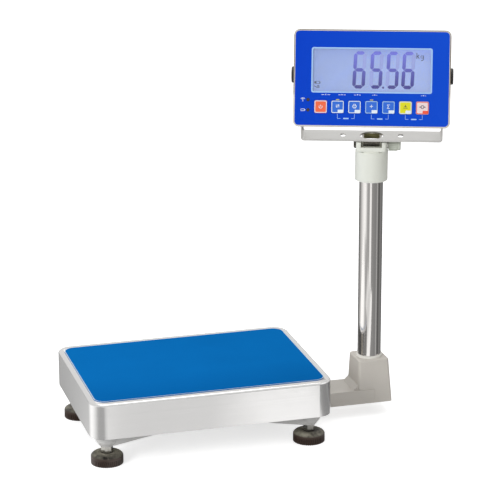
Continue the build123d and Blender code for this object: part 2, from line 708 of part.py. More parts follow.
def cheek_outline():
    """Side outline of a yoke cheek, cut back behind so that the head can tip back."""
    half = YOKE_SIZE / 2
    rise = YOKE_TOP_RISE
    back = radians(YOKE_BACK_ANGLE)
    plate_drop = BRACKET_RISE - BRACKET_SHEET - YOKE_GAP
    break_y = (plate_drop - rise * cos(back)) / sin(back)
    corner = rise - (half - break_y) * tan(back)
    return make_face(Polyline(
        (-half, -YOKE_FOOT_DROP), (half, -YOKE_FOOT_DROP), (half, corner), (break_y, rise),
        (-half, rise), (-half, -YOKE_FOOT_DROP)))


def sleeve_screw_place():
    """Placement of the sleeve's clamp screw, pointing out of its back."""
    return Pos(0, TUBE_RADIUS, SLEEVE_BOTTOM + SLEEVE_SCREW_RISE) * Rot(-90, 0, 0)


def make_pole_head():
    """Sleeve and clevis in one moulding: it grips the tube and carries the tilting bracket."""
    neck = YOKE_BOTTOM - SLEEVE_NECK
    sleeve = upright(SLEEVE_RADIUS, SLEEVE_BOTTOM, neck)
    sleeve = fillet(sleeve.faces().sort_by(Axis.Z)[0].edges(), SLEEVE_EDGE)
    sleeve += Pos(0, 0, neck) * Cone(SLEEVE_RADIUS, YOKE_SIZE / 2 - 1, SLEEVE_NECK + 2, align=UP)
    cheeks = Pos(0, 0, PIVOT_Z) * extrude(Plane.YZ * cheek_outline(), YOKE_SIZE / 2, both=True)
    cheeks = cheeks & slab(YOKE_SIZE, YOKE_SIZE, YOKE_BOTTOM, YOKE_TOP, YOKE_CORNER)
    cheeks = fillet(cheeks.faces().sort_by(Axis.Z)[0].edges(), YOKE_EDGE)
    head = sleeve + cheeks
    head -= upright(TUBE_RADIUS + SLIDE_FIT, SLEEVE_BOTTOM - 1, TUBE_TOP)
    head -= upright(CABLE_RADIUS, TUBE_TOP - 1, PIVOT_Z)
    inside = YOKE_SIZE - 2 * YOKE_WALL
    head -= slab(2 * SLOT_HALF, inside, TUBE_TOP + SLEEVE_SHOULDER, YOKE_TOP + 1)
    head -= slab(2 * SLOT_HALF, YOKE_SIZE + 2, PIVOT_Z - YOKE_SILL_DROP, YOKE_TOP + 1)
    head -= across(PIVOT_RADIUS + SLIDE_FIT, -YOKE_SIZE, YOKE_SIZE, z=PIVOT_Z)
    head -= sleeve_screw_place() * Cylinder(GRUB_RADIUS, SLEEVE_RADIUS, align=UP)
    return HEAD * head


def make_head_clamp_screw():
    """The grub screw at the back of the sleeve, eased off so that the head can turn."""
    length = SLEEVE_RADIUS - TUBE_RADIUS - SLEEVE_SCREW_GAP
    return HEAD * sleeve_screw_place() * Pos(0, 0, SLEEVE_SCREW_GAP) * grub_screw(length)


def make_pivot_bolt():
    """The round-headed bolt through both cheeks and both lugs."""
    left = -YOKE_SIZE / 2
    end = YOKE_SIZE / 2 + PIVOT_WASHER + TILT_KNOB_LENGTH - PIVOT_THREAD_SHORT
    cap = across(PIVOT_HEAD_RADIUS, left - PIVOT_HEAD, left, z=PIVOT_Z)
    cap = fillet(cap.faces().sort_by(Axis.X)[0].edges(), PIVOT_HEAD_ROUND)
    return HEAD * (cap + across(PIVOT_RADIUS, left, end, z=PIVOT_Z))


def make_pivot_washer():
    """The thick plain washer under the tilt knob."""
    left = YOKE_SIZE / 2
    right = left + PIVOT_WASHER - WASHER_PLAY
    washer = across(PIVOT_HEAD_RADIUS, left, right, z=PIVOT_Z)
    return HEAD * (washer - across(PIVOT_RADIUS + SLIDE_FIT, left - 1, right + 1, z=PIVOT_Z))


def knob_body(radius, length, bore_radius):
    """A ribbed thumb knob along X, seated at X = 0, with a rounded end and a blind bore."""
    grip = ribbed_disc(radius, length * KNOB_RIB_SHARE, KNOB_RIB_COUNT, KNOB_RIB_DEPTH)
    cap = Cylinder(radius - KNOB_RIB_DEPTH, length, align=UP)
    cap = fillet(cap.faces().sort_by(Axis.Z)[-1].edges(), KNOB_EDGE)
    bore = Pos(0, 0, -1) * Cylinder(bore_radius, length - KNOB_END_WALL + 1, align=UP)
    return Rot(0, 90, 0) * (grip + cap - bore)


def make_tilt_knob():
    """The thumb knob that locks the bracket's tilt."""
    knob = knob_body(TILT_KNOB_RADIUS, TILT_KNOB_LENGTH, PIVOT_RADIUS + KNOB_INSERT_WALL)
    return HEAD * Pos(YOKE_SIZE / 2 + PIVOT_WASHER, 0, PIVOT_Z) * knob


def make_tilt_knob_insert():
    """The brass nut moulded into the tilt knob."""
    left = YOKE_SIZE / 2 + PIVOT_WASHER
    right = left + TILT_KNOB_LENGTH - KNOB_END_WALL
    nut = across(PIVOT_RADIUS + KNOB_INSERT_WALL, left, right, z=PIVOT_Z)
    return HEAD * (nut - across(PIVOT_RADIUS + SLIDE_FIT, left - 1, right + 1, z=PIVOT_Z))


# Indicator bracket, in a frame with its origin on the pivot bolt

def arm_outline():
    """Side outline of one bracket arm: wide at the plate, round at the side knob."""
    half = BRACKET_DEPTH / 2
    foot = BRACKET_RISE
    plate = make_face(Polyline(
        (-half, foot), (half, foot), (SIDE_AXIS_Y + ARM_END_RADIUS, SIDE_AXIS_Z),
        (SIDE_AXIS_Y - ARM_END_RADIUS, SIDE_AXIS_Z), (-half, foot)))
    return plate + Pos(SIDE_AXIS_Y, SIDE_AXIS_Z) * Circle(ARM_END_RADIUS)


def lug_outline():
    """Side outline of a pivot lug: it narrows from the plate to a round end."""
    top = BRACKET_RISE - BRACKET_SHEET / 2
    drop = LUG_END_RADIUS * sin(radians(LUG_FLANK))
    waist = LUG_END_RADIUS * cos(radians(LUG_FLANK))
    wedge = make_face(Polyline(
        (-LUG_HALF_DEPTH, top), (LUG_HALF_DEPTH, top), (waist, -drop),
        (-waist, -drop), (-LUG_HALF_DEPTH, top)))
    return wedge + Circle(LUG_END_RADIUS)


def make_indicator_bracket():
    """The bent U of stainless sheet with two lugs welded under it."""
    top = BRACKET_RISE
    arch = make_face(Polyline(
        (-BRACKET_HALF, SIDE_AXIS_Z + 40), (-BRACKET_HALF, top - BRACKET_SHEET),
        (BRACKET_HALF, top - BRACKET_SHEET), (BRACKET_HALF, SIDE_AXIS_Z + 40),
        (-BRACKET_HALF, SIDE_AXIS_Z + 40)))
    arch = fillet(arch.vertices().group_by(Axis.Y)[0], BRACKET_BEND + BRACKET_SHEET)
    inner_half = BRACKET_HALF - BRACKET_SHEET
    hollow = make_face(Polyline(
        (-inner_half, SIDE_AXIS_Z + 41), (-inner_half, top), (inner_half, top),
        (inner_half, SIDE_AXIS_Z + 41), (-inner_half, SIDE_AXIS_Z + 41)))
    hollow = fillet(hollow.vertices().group_by(Axis.Y)[0], BRACKET_BEND)
    channel = extrude(Plane.XZ * (arch - hollow), BRACKET_DEPTH, both=True)
    trim = extrude(Plane.YZ * (arm_outline() + bracket_plate_band()), BRACKET_HALF + 1, both=True)
    bracket = channel & trim
    for side in (-1, 1):
        lug = extrude(Plane.YZ * lug_outline(), LUG_SHEET)
        start = LUG_OUTER - LUG_SHEET if side > 0 else -LUG_OUTER
        bracket += Pos(start, 0, 0) * lug
    bracket -= upright(BRACKET_HOLE_RADIUS, top - BRACKET_SHEET, top + 1)
    for side in (-1, 1):
        bracket -= slab(BRACKET_SLOT_WIDTH, BRACKET_SLOT_LENGTH, top - BRACKET_SHEET - 1, top + 1,
                        BRACKET_SLOT_CORNER, side * BRACKET_SLOT_X)
    bracket -= across(PIVOT_RADIUS + SLIDE_FIT, -2 * LUG_OUTER, 2 * LUG_OUTER)
    bracket -= across(SIDE_STUD_RADIUS + BOLT_PLAY, -BRACKET_HALF - 1, BRACKET_HALF + 1,
                      SIDE_AXIS_Y, SIDE_AXIS_Z)
    return BRACKET * bracket


def bracket_plate_band():
    """Side outline of the flat plate and its bends, at full depth."""
    height = BRACKET_SHEET + BRACKET_BEND
    return Pos(0, BRACKET_RISE - BRACKET_SHEET + height / 2) * Rectangle(BRACKET_DEPTH, height)


def make_lug_bridge():
    """The cross plate between the lugs, behind the bolt and under the plate's round hole."""
    top = BRACKET_RISE - BRACKET_SHEET
    bar = slab(2 * (LUG_OUTER - LUG_SHEET), LUG_BRIDGE_SHEET, top - LUG_BRIDGE_DROP, top,
               y=LUG_BRIDGE_Y + LUG_BRIDGE_SHEET / 2)
    return BRACKET * bar


def make_lug_washers():
    """Two thin fibre discs between the lugs and the cheeks."""
    discs = []
    for left in (-LUG_OUTER - LUG_WASHER, LUG_OUTER):
        disc = across(LUG_END_RADIUS, left, left + LUG_WASHER)
        discs.append(BRACKET * (disc - across(PIVOT_RADIUS + SLIDE_FIT, left - 1, left + 2)))
    return Compound(children=discs)


# Indicator, in a frame whose Z points out of the front face

def axis_in_face():
    """Height and depth of the side-knob axis in the face frame."""
    return FACE_DROP, -FACE_REACH


def side_rod(radius, left, right):
    """A rod along the side-knob axis in the face frame."""
    y, z = axis_in_face()
    return across(radius, left, right, y, z)


def make_side_washers():
    """Rubber friction discs between the rear case and the bracket arms."""
    discs = []
    thick = SIDE_WASHER - WASHER_PLAY
    for left in (-REAR_HALF_LENGTH - SIDE_WASHER, REAR_HALF_LENGTH + WASHER_PLAY):
        disc = side_rod(ARM_END_RADIUS - 1, left, left + thick)
        bore = side_rod(SIDE_STUD_RADIUS + BOLT_PLAY, left - 1, left + thick + 1)
        discs.append(FACE * (disc - bore))
    return Compound(children=discs)


def key_places():
    """Centres of the keys along the row."""
    first = -(KEY_COUNT - 1) / 2 * KEY_PITCH
    return [first + k * KEY_PITCH for k in range(KEY_COUNT)]


def face_openings(margin, low, high):
    """Solids that cut the key holes through a front layer."""
    size = KEY_SIZE + 2 * (KEY_GAP + margin)
    return [slab(size, size, low, high, KEY_CORNER, x, KEY_Y) for x in key_places()]


def screw_places():
    """Case screws: one near each corner of the rear case and two between."""
    corners = [(sx * CASE_SCREW_X, sy * CASE_SCREW_Y) for sx, sy in FEET.values()]
    return corners + [(0, -CASE_SCREW_Y), (0, CASE_SCREW_Y)]


def make_front_case():
    """The front moulding: a shallow tray with a recess for the printed film."""
    tray = slab(CASE_LENGTH, CASE_HEIGHT, -CASE_DEPTH, 0, CASE_CORNER)
    tray = fillet(tray.faces().sort_by(Axis.Z)[-1].edges(), CASE_EDGE)
    inner_l, inner_h = CASE_LENGTH - 2 * CASE_WALL, CASE_HEIGHT - 2 * CASE_WALL
    tray -= slab(inner_l, inner_h, -CASE_DEPTH - 1, CASE_INSIDE, CASE_CORNER - CASE_WALL)
    film_l, film_h = CASE_LENGTH - 2 * OVERLAY_MARGIN, CASE_HEIGHT - 2 * OVERLAY_MARGIN
    tray -= slab(film_l, film_h, -OVERLAY_THICK, 1, CASE_CORNER - OVERLAY_MARGIN)
    for x, y in screw_places():
        tray += upright(POST_RADIUS, -CASE_DEPTH, CASE_INSIDE + POST_ROOT, x, y)
    for x, y in holder_post_places():
        tray += upright(POST_RADIUS - 1, panel_back(), CASE_INSIDE + POST_ROOT, x, y)
    for x, y in key_board_posts():
        tray += upright(POST_RADIUS - 1, key_board_front(), CASE_INSIDE + POST_ROOT, x, y)
    tray -= slab(WINDOW_LENGTH, WINDOW_HEIGHT, -CASE_DEPTH, 1, WINDOW_CORNER,
                 WINDOW_X, WINDOW_Y)
    for cut in face_openings(0.0, -CASE_DEPTH, 1):
        tray -= cut
    for y in LAMP_YS:
        tray -= upright(LAMP_RADIUS, -CASE_DEPTH, 1, LAMP_X, y)
    for x, y in screw_places():
        tray -= upright(CASE_SCREW_RADIUS, -CASE_DEPTH - 1, CASE_INSIDE - SCREW_END_GAP, x, y)
    return FACE * tray


def make_front_overlay():
    """The printed film in the recess of the front case."""
    film = slab(CASE_LENGTH - 2 * OVERLAY_MARGIN, CASE_HEIGHT - 2 * OVERLAY_MARGIN,
                -OVERLAY_THICK, 0, CASE_CORNER - OVERLAY_MARGIN)
    film -= slab(WINDOW_LENGTH - 2 * WINDOW_BORDER, WINDOW_HEIGHT - 2 * WINDOW_BORDER,
                 -1, 1, WINDOW_CORNER, WINDOW_X, WINDOW_Y)
    for cut in face_openings(0.0, -1, 1):
        film -= cut
    for y in LAMP_YS:
        film -= upright(LAMP_RADIUS, -1, 1, LAMP_X, y)
    return FACE * film


def make_display_window():
    """The clear pane behind the film's window."""
    return FACE * slab(WINDOW_LENGTH, WINDOW_HEIGHT, WINDOW_BACK, -OVERLAY_THICK, WINDOW_CORNER,
                       WINDOW_X, WINDOW_Y)


def panel_back():
    """Depth of the display glass's back face."""
    return WINDOW_BACK - PANEL_THICK


def make_lcd_panel():
    """The liquid crystal glass behind the pane."""
    return FACE * slab(WINDOW_LENGTH - PANEL_INSET, WINDOW_HEIGHT - PANEL_INSET,
                       panel_back(), WINDOW_BACK, x=WINDOW_X, y=WINDOW_Y)


def holder_post_places():
    """Centres of the posts that take the display holder, left and right of the window."""
    x = WINDOW_LENGTH / 2 + POST_RADIUS
    return [(WINDOW_X + sx * x, WINDOW_Y + sy * HOLDER_POST_RISE) for sx, sy in FEET.values()]


def make_lcd_holder():
    """The white frame with the light guide that presses the display forward."""
    back = panel_back()
    frame = slab(WINDOW_LENGTH, WINDOW_HEIGHT, back - HOLDER_DEPTH, back, WINDOW_CORNER,
                 WINDOW_X, WINDOW_Y)
    for x, y in holder_post_places():
        frame += upright(HOLDER_EAR, back - HOLDER_DEPTH, back, x, y)
    frame -= slab(WINDOW_LENGTH - 2 * HOLDER_RIM, WINDOW_HEIGHT - 2 * HOLDER_RIM,
                  back - HOLDER_DEPTH - 1, back - HOLDER_FLOOR, WINDOW_CORNER,
                  WINDOW_X, WINDOW_Y)
    return FACE * frame


def make_key(place):
    """One square key with the skirt that holds it behind the front case."""
    back = CASE_INSIDE - KEY_SKIRT_THICK
    cap = slab(KEY_SIZE, KEY_SIZE, back, KEY_PROUD, KEY_CORNER, place, KEY_Y)
    cap = chamfer(cap.faces().sort_by(Axis.Z)[-1].edges(), KEY_CHAMFER)
    wide = KEY_SIZE + 2 * (KEY_SKIRT + KEY_GAP)
    return FACE * (cap + slab(wide, wide, back, CASE_INSIDE, KEY_CORNER, place, KEY_Y))


def switch_front():
    """Depth of the switch buttons, just beyond the keys' travel."""
    return CASE_INSIDE - KEY_SKIRT_THICK - KEY_TRAVEL - SWITCH_GAP


def key_board_front():
    """Depth of the key board's front face."""
    return switch_front() - SWITCH_HEIGHT


def key_board_posts():
    """Centres of the posts that hold the key board."""
    x = KEY_PITCH * KEY_COUNT / 2 + POST_RADIUS
    return [(side * x, KEY_Y) for side in (-1, 1)]


def make_key_board():
    """The board with one dome switch behind each key and the lamps at its left end."""
    front = key_board_front()
    right = KEY_PITCH * KEY_COUNT / 2 + KEY_BOARD_MARGIN
    left = LAMP_X - KEY_BOARD_MARGIN
    board = slab(right - left, KEY_BOARD_HEIGHT, front - BOARD_THICK, front, BOARD_CORNER,
                 (left + right) / 2, KEY_Y)
    for x in key_places():
        board += upright(SWITCH_RADIUS, front, switch_front(), x, KEY_Y)
    return FACE * board


def make_status_lamps():
    """Two small lamps that look out through holes beside the keys."""
    lamps = []
    for y in LAMP_YS:
        stem = upright(LAMP_RADIUS - LAMP_GAP, key_board_front(), -OVERLAY_THICK - LAMP_GAP,
                       LAMP_X, y)
        lamps.append(FACE * stem)
    return Compound(children=lamps)


def make_case_gasket():
    """The seal ring between the two case halves."""
    outer_l, outer_h = CASE_LENGTH - 2 * GASKET_INSET, CASE_HEIGHT - 2 * GASKET_INSET
    ring = slab(outer_l, outer_h, -CASE_DEPTH - GASKET, -CASE_DEPTH, CASE_CORNER - GASKET_INSET)
    inner_l, inner_h = CASE_LENGTH - 2 * CASE_WALL, CASE_HEIGHT - 2 * CASE_WALL
    ring -= slab(inner_l, inner_h, -CASE_DEPTH - 2, -CASE_DEPTH + 1, CASE_CORNER - CASE_WALL)
    return FACE * ring


def rear_shell(wall, front_reach):
    """The tapered back of the rear case, or with a wall the hollow inside it."""
    wide = 2 * (REAR_HALF_LENGTH - SIDE_BOSS_STAND - wall)
    corner = REAR_EDGE - wall
    front = Pos(0, 0, REAR_FRONT + front_reach) * RectangleRounded(
        wide, REAR_HEIGHT - 2 * wall, corner)
    back = Pos(0, 0, REAR_BACK + wall) * RectangleRounded(
        wide, REAR_BACK_HEIGHT - 2 * wall, corner)
    return loft([front, back])


def make_rear_case():
    """The rear moulding: a flange, a tapered back and round bosses for the side knobs."""
    shell = rear_shell(0, 0)
    shell = fillet(shell.faces().sort_by(Axis.Z)[0].edges(), REAR_ROUND)
    case = shell + slab(CASE_LENGTH - 2 * FLANGE_INSET, CASE_HEIGHT - 2 * FLANGE_INSET,
                        REAR_FRONT - REAR_FLANGE, REAR_FRONT, CASE_CORNER - FLANGE_INSET)
    inner = REAR_HALF_LENGTH - SIDE_BOSS_STAND - 1
    for left, right in ((-REAR_HALF_LENGTH, -inner), (inner, REAR_HALF_LENGTH)):
        case += side_rod(SIDE_BOSS_RADIUS, left, right)
    case -= rear_shell(CASE_WALL, 1)
    well = CASE_SCREW_HEAD_RADIUS + HEAD_PLAY
    for x, y in screw_places():
        case += upright(well + WELL_WALL, REAR_BACK, REAR_FRONT, x, y) & shell
    for x, y in board_post_places():
        case += upright(POST_RADIUS, REAR_BACK + 1, main_board_back(), x, y)
    depth = REAR_HALF_LENGTH - INSERT_LENGTH
    for left, right in ((-inner, -depth + INSERT_WALL), (depth - INSERT_WALL, inner)):
        case += side_rod(INSERT_RADIUS + INSERT_WALL, left, right)
    for left, right in ((-REAR_HALF_LENGTH - 1, -depth), (depth, REAR_HALF_LENGTH + 1)):
        case -= side_rod(INSERT_RADIUS, left, right)
    for x, y in screw_places():
        case -= upright(CASE_SCREW_RADIUS + BOLT_PLAY, REAR_BACK - 1, REAR_FRONT + 1, x, y)
        case -= upright(well, REAR_BACK - 1, screw_seat(), x, y)
    case -= upright(GLAND_RADIUS, REAR_BACK - 1, REAR_BACK + CASE_WALL + 1, GLAND_X, PORT_Y)
    case -= upright(SOCKET_RADIUS, REAR_BACK - 1, REAR_BACK + CASE_WALL + 1, SOCKET_X, PORT_Y)
    return FACE * case


def screw_seat():
    """Depth of the seats at the bottom of the screw wells."""
    return REAR_FRONT - CASE_SCREW_SEAT


def make_side_inserts():
    """Brass threaded inserts in the rear case's side bosses."""
    inserts = []
    for left in (-REAR_HALF_LENGTH, REAR_HALF_LENGTH - INSERT_LENGTH):
        insert = side_rod(INSERT_RADIUS, left, left + INSERT_LENGTH)
        bore = side_rod(SIDE_STUD_RADIUS + SLIDE_FIT, left - 1, left + INSERT_LENGTH + 1)
        inserts.append(FACE * (insert - bore))
    return Compound(children=inserts)


def make_case_screws():
    """Pan head screws from behind that hold the case together."""
    screws = []
    for x, y in screw_places():
        head = upright(CASE_SCREW_HEAD_RADIUS, screw_seat() - CASE_SCREW_HEAD, screw_seat(), x, y)
        shank = upright(CASE_SCREW_RADIUS, screw_seat(), CASE_INSIDE - SCREW_END_GAP, x, y)
        screws.append(FACE * (head + shank))
    return Compound(children=screws)


def main_board_back():
    """Depth of the main board's back face."""
    return REAR_BACK + MAIN_BOARD_DEPTH - BOARD_THICK


def board_y():
    """Height of the main board's middle on the face."""
    return REAR_BACK_HEIGHT / 2 - MAIN_BOARD_HEIGHT / 2 - MAIN_BOARD_TOP_GAP


def board_post_places():
    """Centres of the four posts under the main board."""
    x = MAIN_BOARD_LENGTH / 2 - 1.5 * POST_RADIUS
    y = MAIN_BOARD_HEIGHT / 2 - 1.5 * POST_RADIUS
    return [(sx * x, board_y() + sy * y) for sx, sy in FEET.values()]


def make_main_board():
    """The main circuit board with its converter can and connector row."""
    back = main_board_back()
    front = back + BOARD_THICK
    board = slab(MAIN_BOARD_LENGTH, MAIN_BOARD_HEIGHT, back, front, BOARD_CORNER, y=board_y())
    x, y, length, height, rise = CONVERTER_CAN
    board += slab(length, height, front, front + rise, 1, x, board_y() + y)
    x, y, length, height, rise = CONNECTOR_ROW
    board += slab(length, height, front, front + rise, x=x, y=board_y() + y)
    return FACE * board


def make_battery():
    """The sealed battery, on the rear case's inner wall behind the board."""
    low = REAR_BACK + CASE_WALL
    return FACE * slab(BATTERY_LENGTH, BATTERY_HEIGHT, low, low + BATTERY_THICK, BATTERY_CORNER,
                       BATTERY_X, BATTERY_Y)


def make_signal_gland():
    """The cable gland for the load cell signal, at the back."""
    low = REAR_BACK
    inside = low + CASE_WALL + GLAND_INSIDE
    nut_end = low - GLAND_NUT
    body = upright(GLAND_RADIUS, low - 1, inside, GLAND_X, PORT_Y)
    nut = hexagon(GLAND_FLATS, nut_end, low, GLAND_X, PORT_Y)
    dome = upright(GLAND_RADIUS, low - GLAND_LENGTH, nut_end, GLAND_X, PORT_Y)
    dome = fillet(dome.faces().sort_by(Axis.Z)[0].edges(), GLAND_ROUND)
    bore = upright(GLAND_BORE, low - GLAND_LENGTH - 1, inside + 1, GLAND_X, PORT_Y)
    return FACE * (body + nut + dome - bore)


def make_power_socket():
    """The round low-voltage inlet beside the gland."""
    low = REAR_BACK
    body = upright(SOCKET_RADIUS, low, low + CASE_WALL + SOCKET_DEPTH, SOCKET_X, PORT_Y)
    ring = upright(SOCKET_RADIUS + SOCKET_RIM, low - SOCKET_STAND, low, SOCKET_X, PORT_Y)
    bore = upright(SOCKET_BORE, low - SOCKET_STAND - 1, low + CASE_WALL + SOCKET_DEPTH / 2,
                   SOCKET_X, PORT_Y)
    return FACE * (body + ring - bore)


def make_side_knob(side):
    """One black knob that clamps the indicator between the arms."""
    knob = knob_body(SIDE_KNOB_RADIUS, SIDE_KNOB_LENGTH, SIDE_STUD_RADIUS)
    y, z = axis_in_face()
    turn = 0 if side > 0 else 180
    return FACE * Pos(side * BRACKET_HALF, y, z) * Rot(0, turn, 0) * knob


def make_side_knob_screw(side):
    """The steel stud moulded into a side knob."""
    inner = REAR_HALF_LENGTH - INSERT_LENGTH + 1
    outer = BRACKET_HALF + SIDE_KNOB_LENGTH - KNOB_END_WALL
    left, right = (inner, outer) if side > 0 else (-outer, -inner)
    return FACE * side_rod(SIDE_STUD_RADIUS, left, right)


def build():
    """Write every sub-part of the scale."""
    os.makedirs("parts", exist_ok=True)
    write("pan", make_pan())
    write("pan_mat", make_pan_mat())
    for name, (sx, sy) in FEET.items():
        write("foot_pad_" + name, make_foot_pad(sx * FOOT_X, sy * FOOT_Y))
        write("foot_screw_" + name, make_foot_screw(sx * FOOT_X, sy * FOOT_Y))
    write("base_frame", make_base_frame())
    write("load_cell", make_load_cell())
    write("load_cell_spacers", make_load_cell_spacers())
    write("load_cell_screws", make_load_cell_screws())
    write("upper_frame", make_upper_frame())
    write("deck_pads", make_deck_pads())
    write("overload_stops", make_overload_stops())
    write("overload_nuts", make_overload_nuts())
    write("column_arm", make_column_arm())
    write("column_arm_bolts", make_column_arm_bolts())
    write("tube_clamp_screws", make_tube_clamp_screws())
    write("column_collar", make_column_collar())
    write("column_tube", make_column_tube())
    write("cable_grommet", make_cable_grommet())
    write("pole_head", make_pole_head())
    write("head_clamp_screw", make_head_clamp_screw())
    write("pivot_bolt", make_pivot_bolt())
    write("pivot_washer", make_pivot_washer())
    write("tilt_knob", make_tilt_knob())
    write("tilt_knob_insert", make_tilt_knob_insert())
    write("indicator_bracket", make_indicator_bracket())
    write("lug_bridge", make_lug_bridge())
    write("lug_washers", make_lug_washers())
    write("side_washers", make_side_washers())
    write("front_case", make_front_case())
    write("front_overlay", make_front_overlay())
    write("display_window", make_display_window())
    write("lcd_panel", make_lcd_panel())
    write("lcd_holder", make_lcd_holder())
    write("key_board", make_key_board())
    write("status_lamps", make_status_lamps())
    write("case_gasket", make_case_gasket())
    write("rear_case", make_rear_case())
    write("side_inserts", make_side_inserts())
    write("case_screws", make_case_screws())
    write("main_board", make_main_board())
    write("battery", make_battery())
    write("signal_gland", make_signal_gland())
    write("power_socket", make_power_socket())
    for side, name in ((-1, "left"), (1, "right")):
        write(name + "_side_knob", make_side_knob(side))
        write(name + "_side_knob_screw", make_side_knob_screw(side))
    for number, place in enumerate(key_places(), start=1):
        write("key_" + str(number), make_key(place))


build()
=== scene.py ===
import logging
import math
from dataclasses import dataclass, field
from enum import Enum

import bpy
from mathutils import Matrix, Vector


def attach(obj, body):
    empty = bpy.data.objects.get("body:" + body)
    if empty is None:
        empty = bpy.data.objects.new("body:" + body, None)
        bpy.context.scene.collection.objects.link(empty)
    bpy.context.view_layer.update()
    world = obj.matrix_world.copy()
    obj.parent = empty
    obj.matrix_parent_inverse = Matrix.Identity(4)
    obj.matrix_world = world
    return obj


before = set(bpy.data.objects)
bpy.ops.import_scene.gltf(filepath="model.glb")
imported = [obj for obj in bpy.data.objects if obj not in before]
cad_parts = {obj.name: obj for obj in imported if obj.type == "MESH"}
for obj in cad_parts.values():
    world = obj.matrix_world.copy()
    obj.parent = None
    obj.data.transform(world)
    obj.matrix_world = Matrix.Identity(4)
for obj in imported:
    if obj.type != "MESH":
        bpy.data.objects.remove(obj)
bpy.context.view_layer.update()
LOG = logging.getLogger("platform_scale")

Flat = tuple[float, float]
Point = tuple[float, float, float]
Colour = tuple[float, float, float, float]
Node = bpy.types.Node
Socket = bpy.types.NodeSocket
Tree = bpy.types.NodeTree
MM = 0.001
BEAD_SIDES = 8  # points round a weld bead
PRINT_LIFT = 0.02  # millimetres between a print and what it lies on
COAT_ROUGHNESS = 0.08
DUST_ROUGHNESS = 0.4  # added where dust lies thickest
CLOUD_SPAN = (0.3, 0.7)  # noise at which clouding starts and is full
WEAR_BEND = (0.995, 0.86)  # cosine of an edge's turn at which wear starts and is full
WEAR_SPOTS = (0.45, 0.62)  # noise at which worn spots start and are full
# On the feet the same upward mask paints their tops lighter, as a painted sheen.
DUST_AND_SHEEN_SLOPE = (0.35, 0.95)  # upward part of the normal at which dust starts and is full
DUST_AND_SHEEN_SPOTS = (0.35, 0.7)  # noise at which dusty spots start and are full
PANE_ROUGHNESS = (0.03, 0.16)  # of the pane where it is clear and where it is hazy
PANE_ALPHA = (0.05, 0.09)  # its cover at the same places


def paint(code: str) -> Colour:
    """Turns a screen colour such as "cfcccb" into the linear colour that shaders use.

    Args:
        code: Six hexadecimal digits, red first.

    Returns:
        Red, green, blue and an alpha of one.
    """
    parts = [int(code[k:k + 2], 16) / 255 for k in (0, 2, 4)]
    linear = [c / 12.92 if c <= 0.04045 else ((c + 0.055) / 1.055) ** 2.4 for c in parts]
    return (linear[0], linear[1], linear[2], 1.0)


def grey(tone: float) -> Colour:
    """Returns a grey of a linear tone."""
    return (tone, tone, tone, 1.0)


# Shader effects that several finishes share

class Effect(Enum):
    """The shader effects that finishes are mixed from."""

    GRAIN = "surface_grain"
    BRUSHING = "brushed_lines"
    WEAR = "edge_wear"
    DUST = "settled_dust"


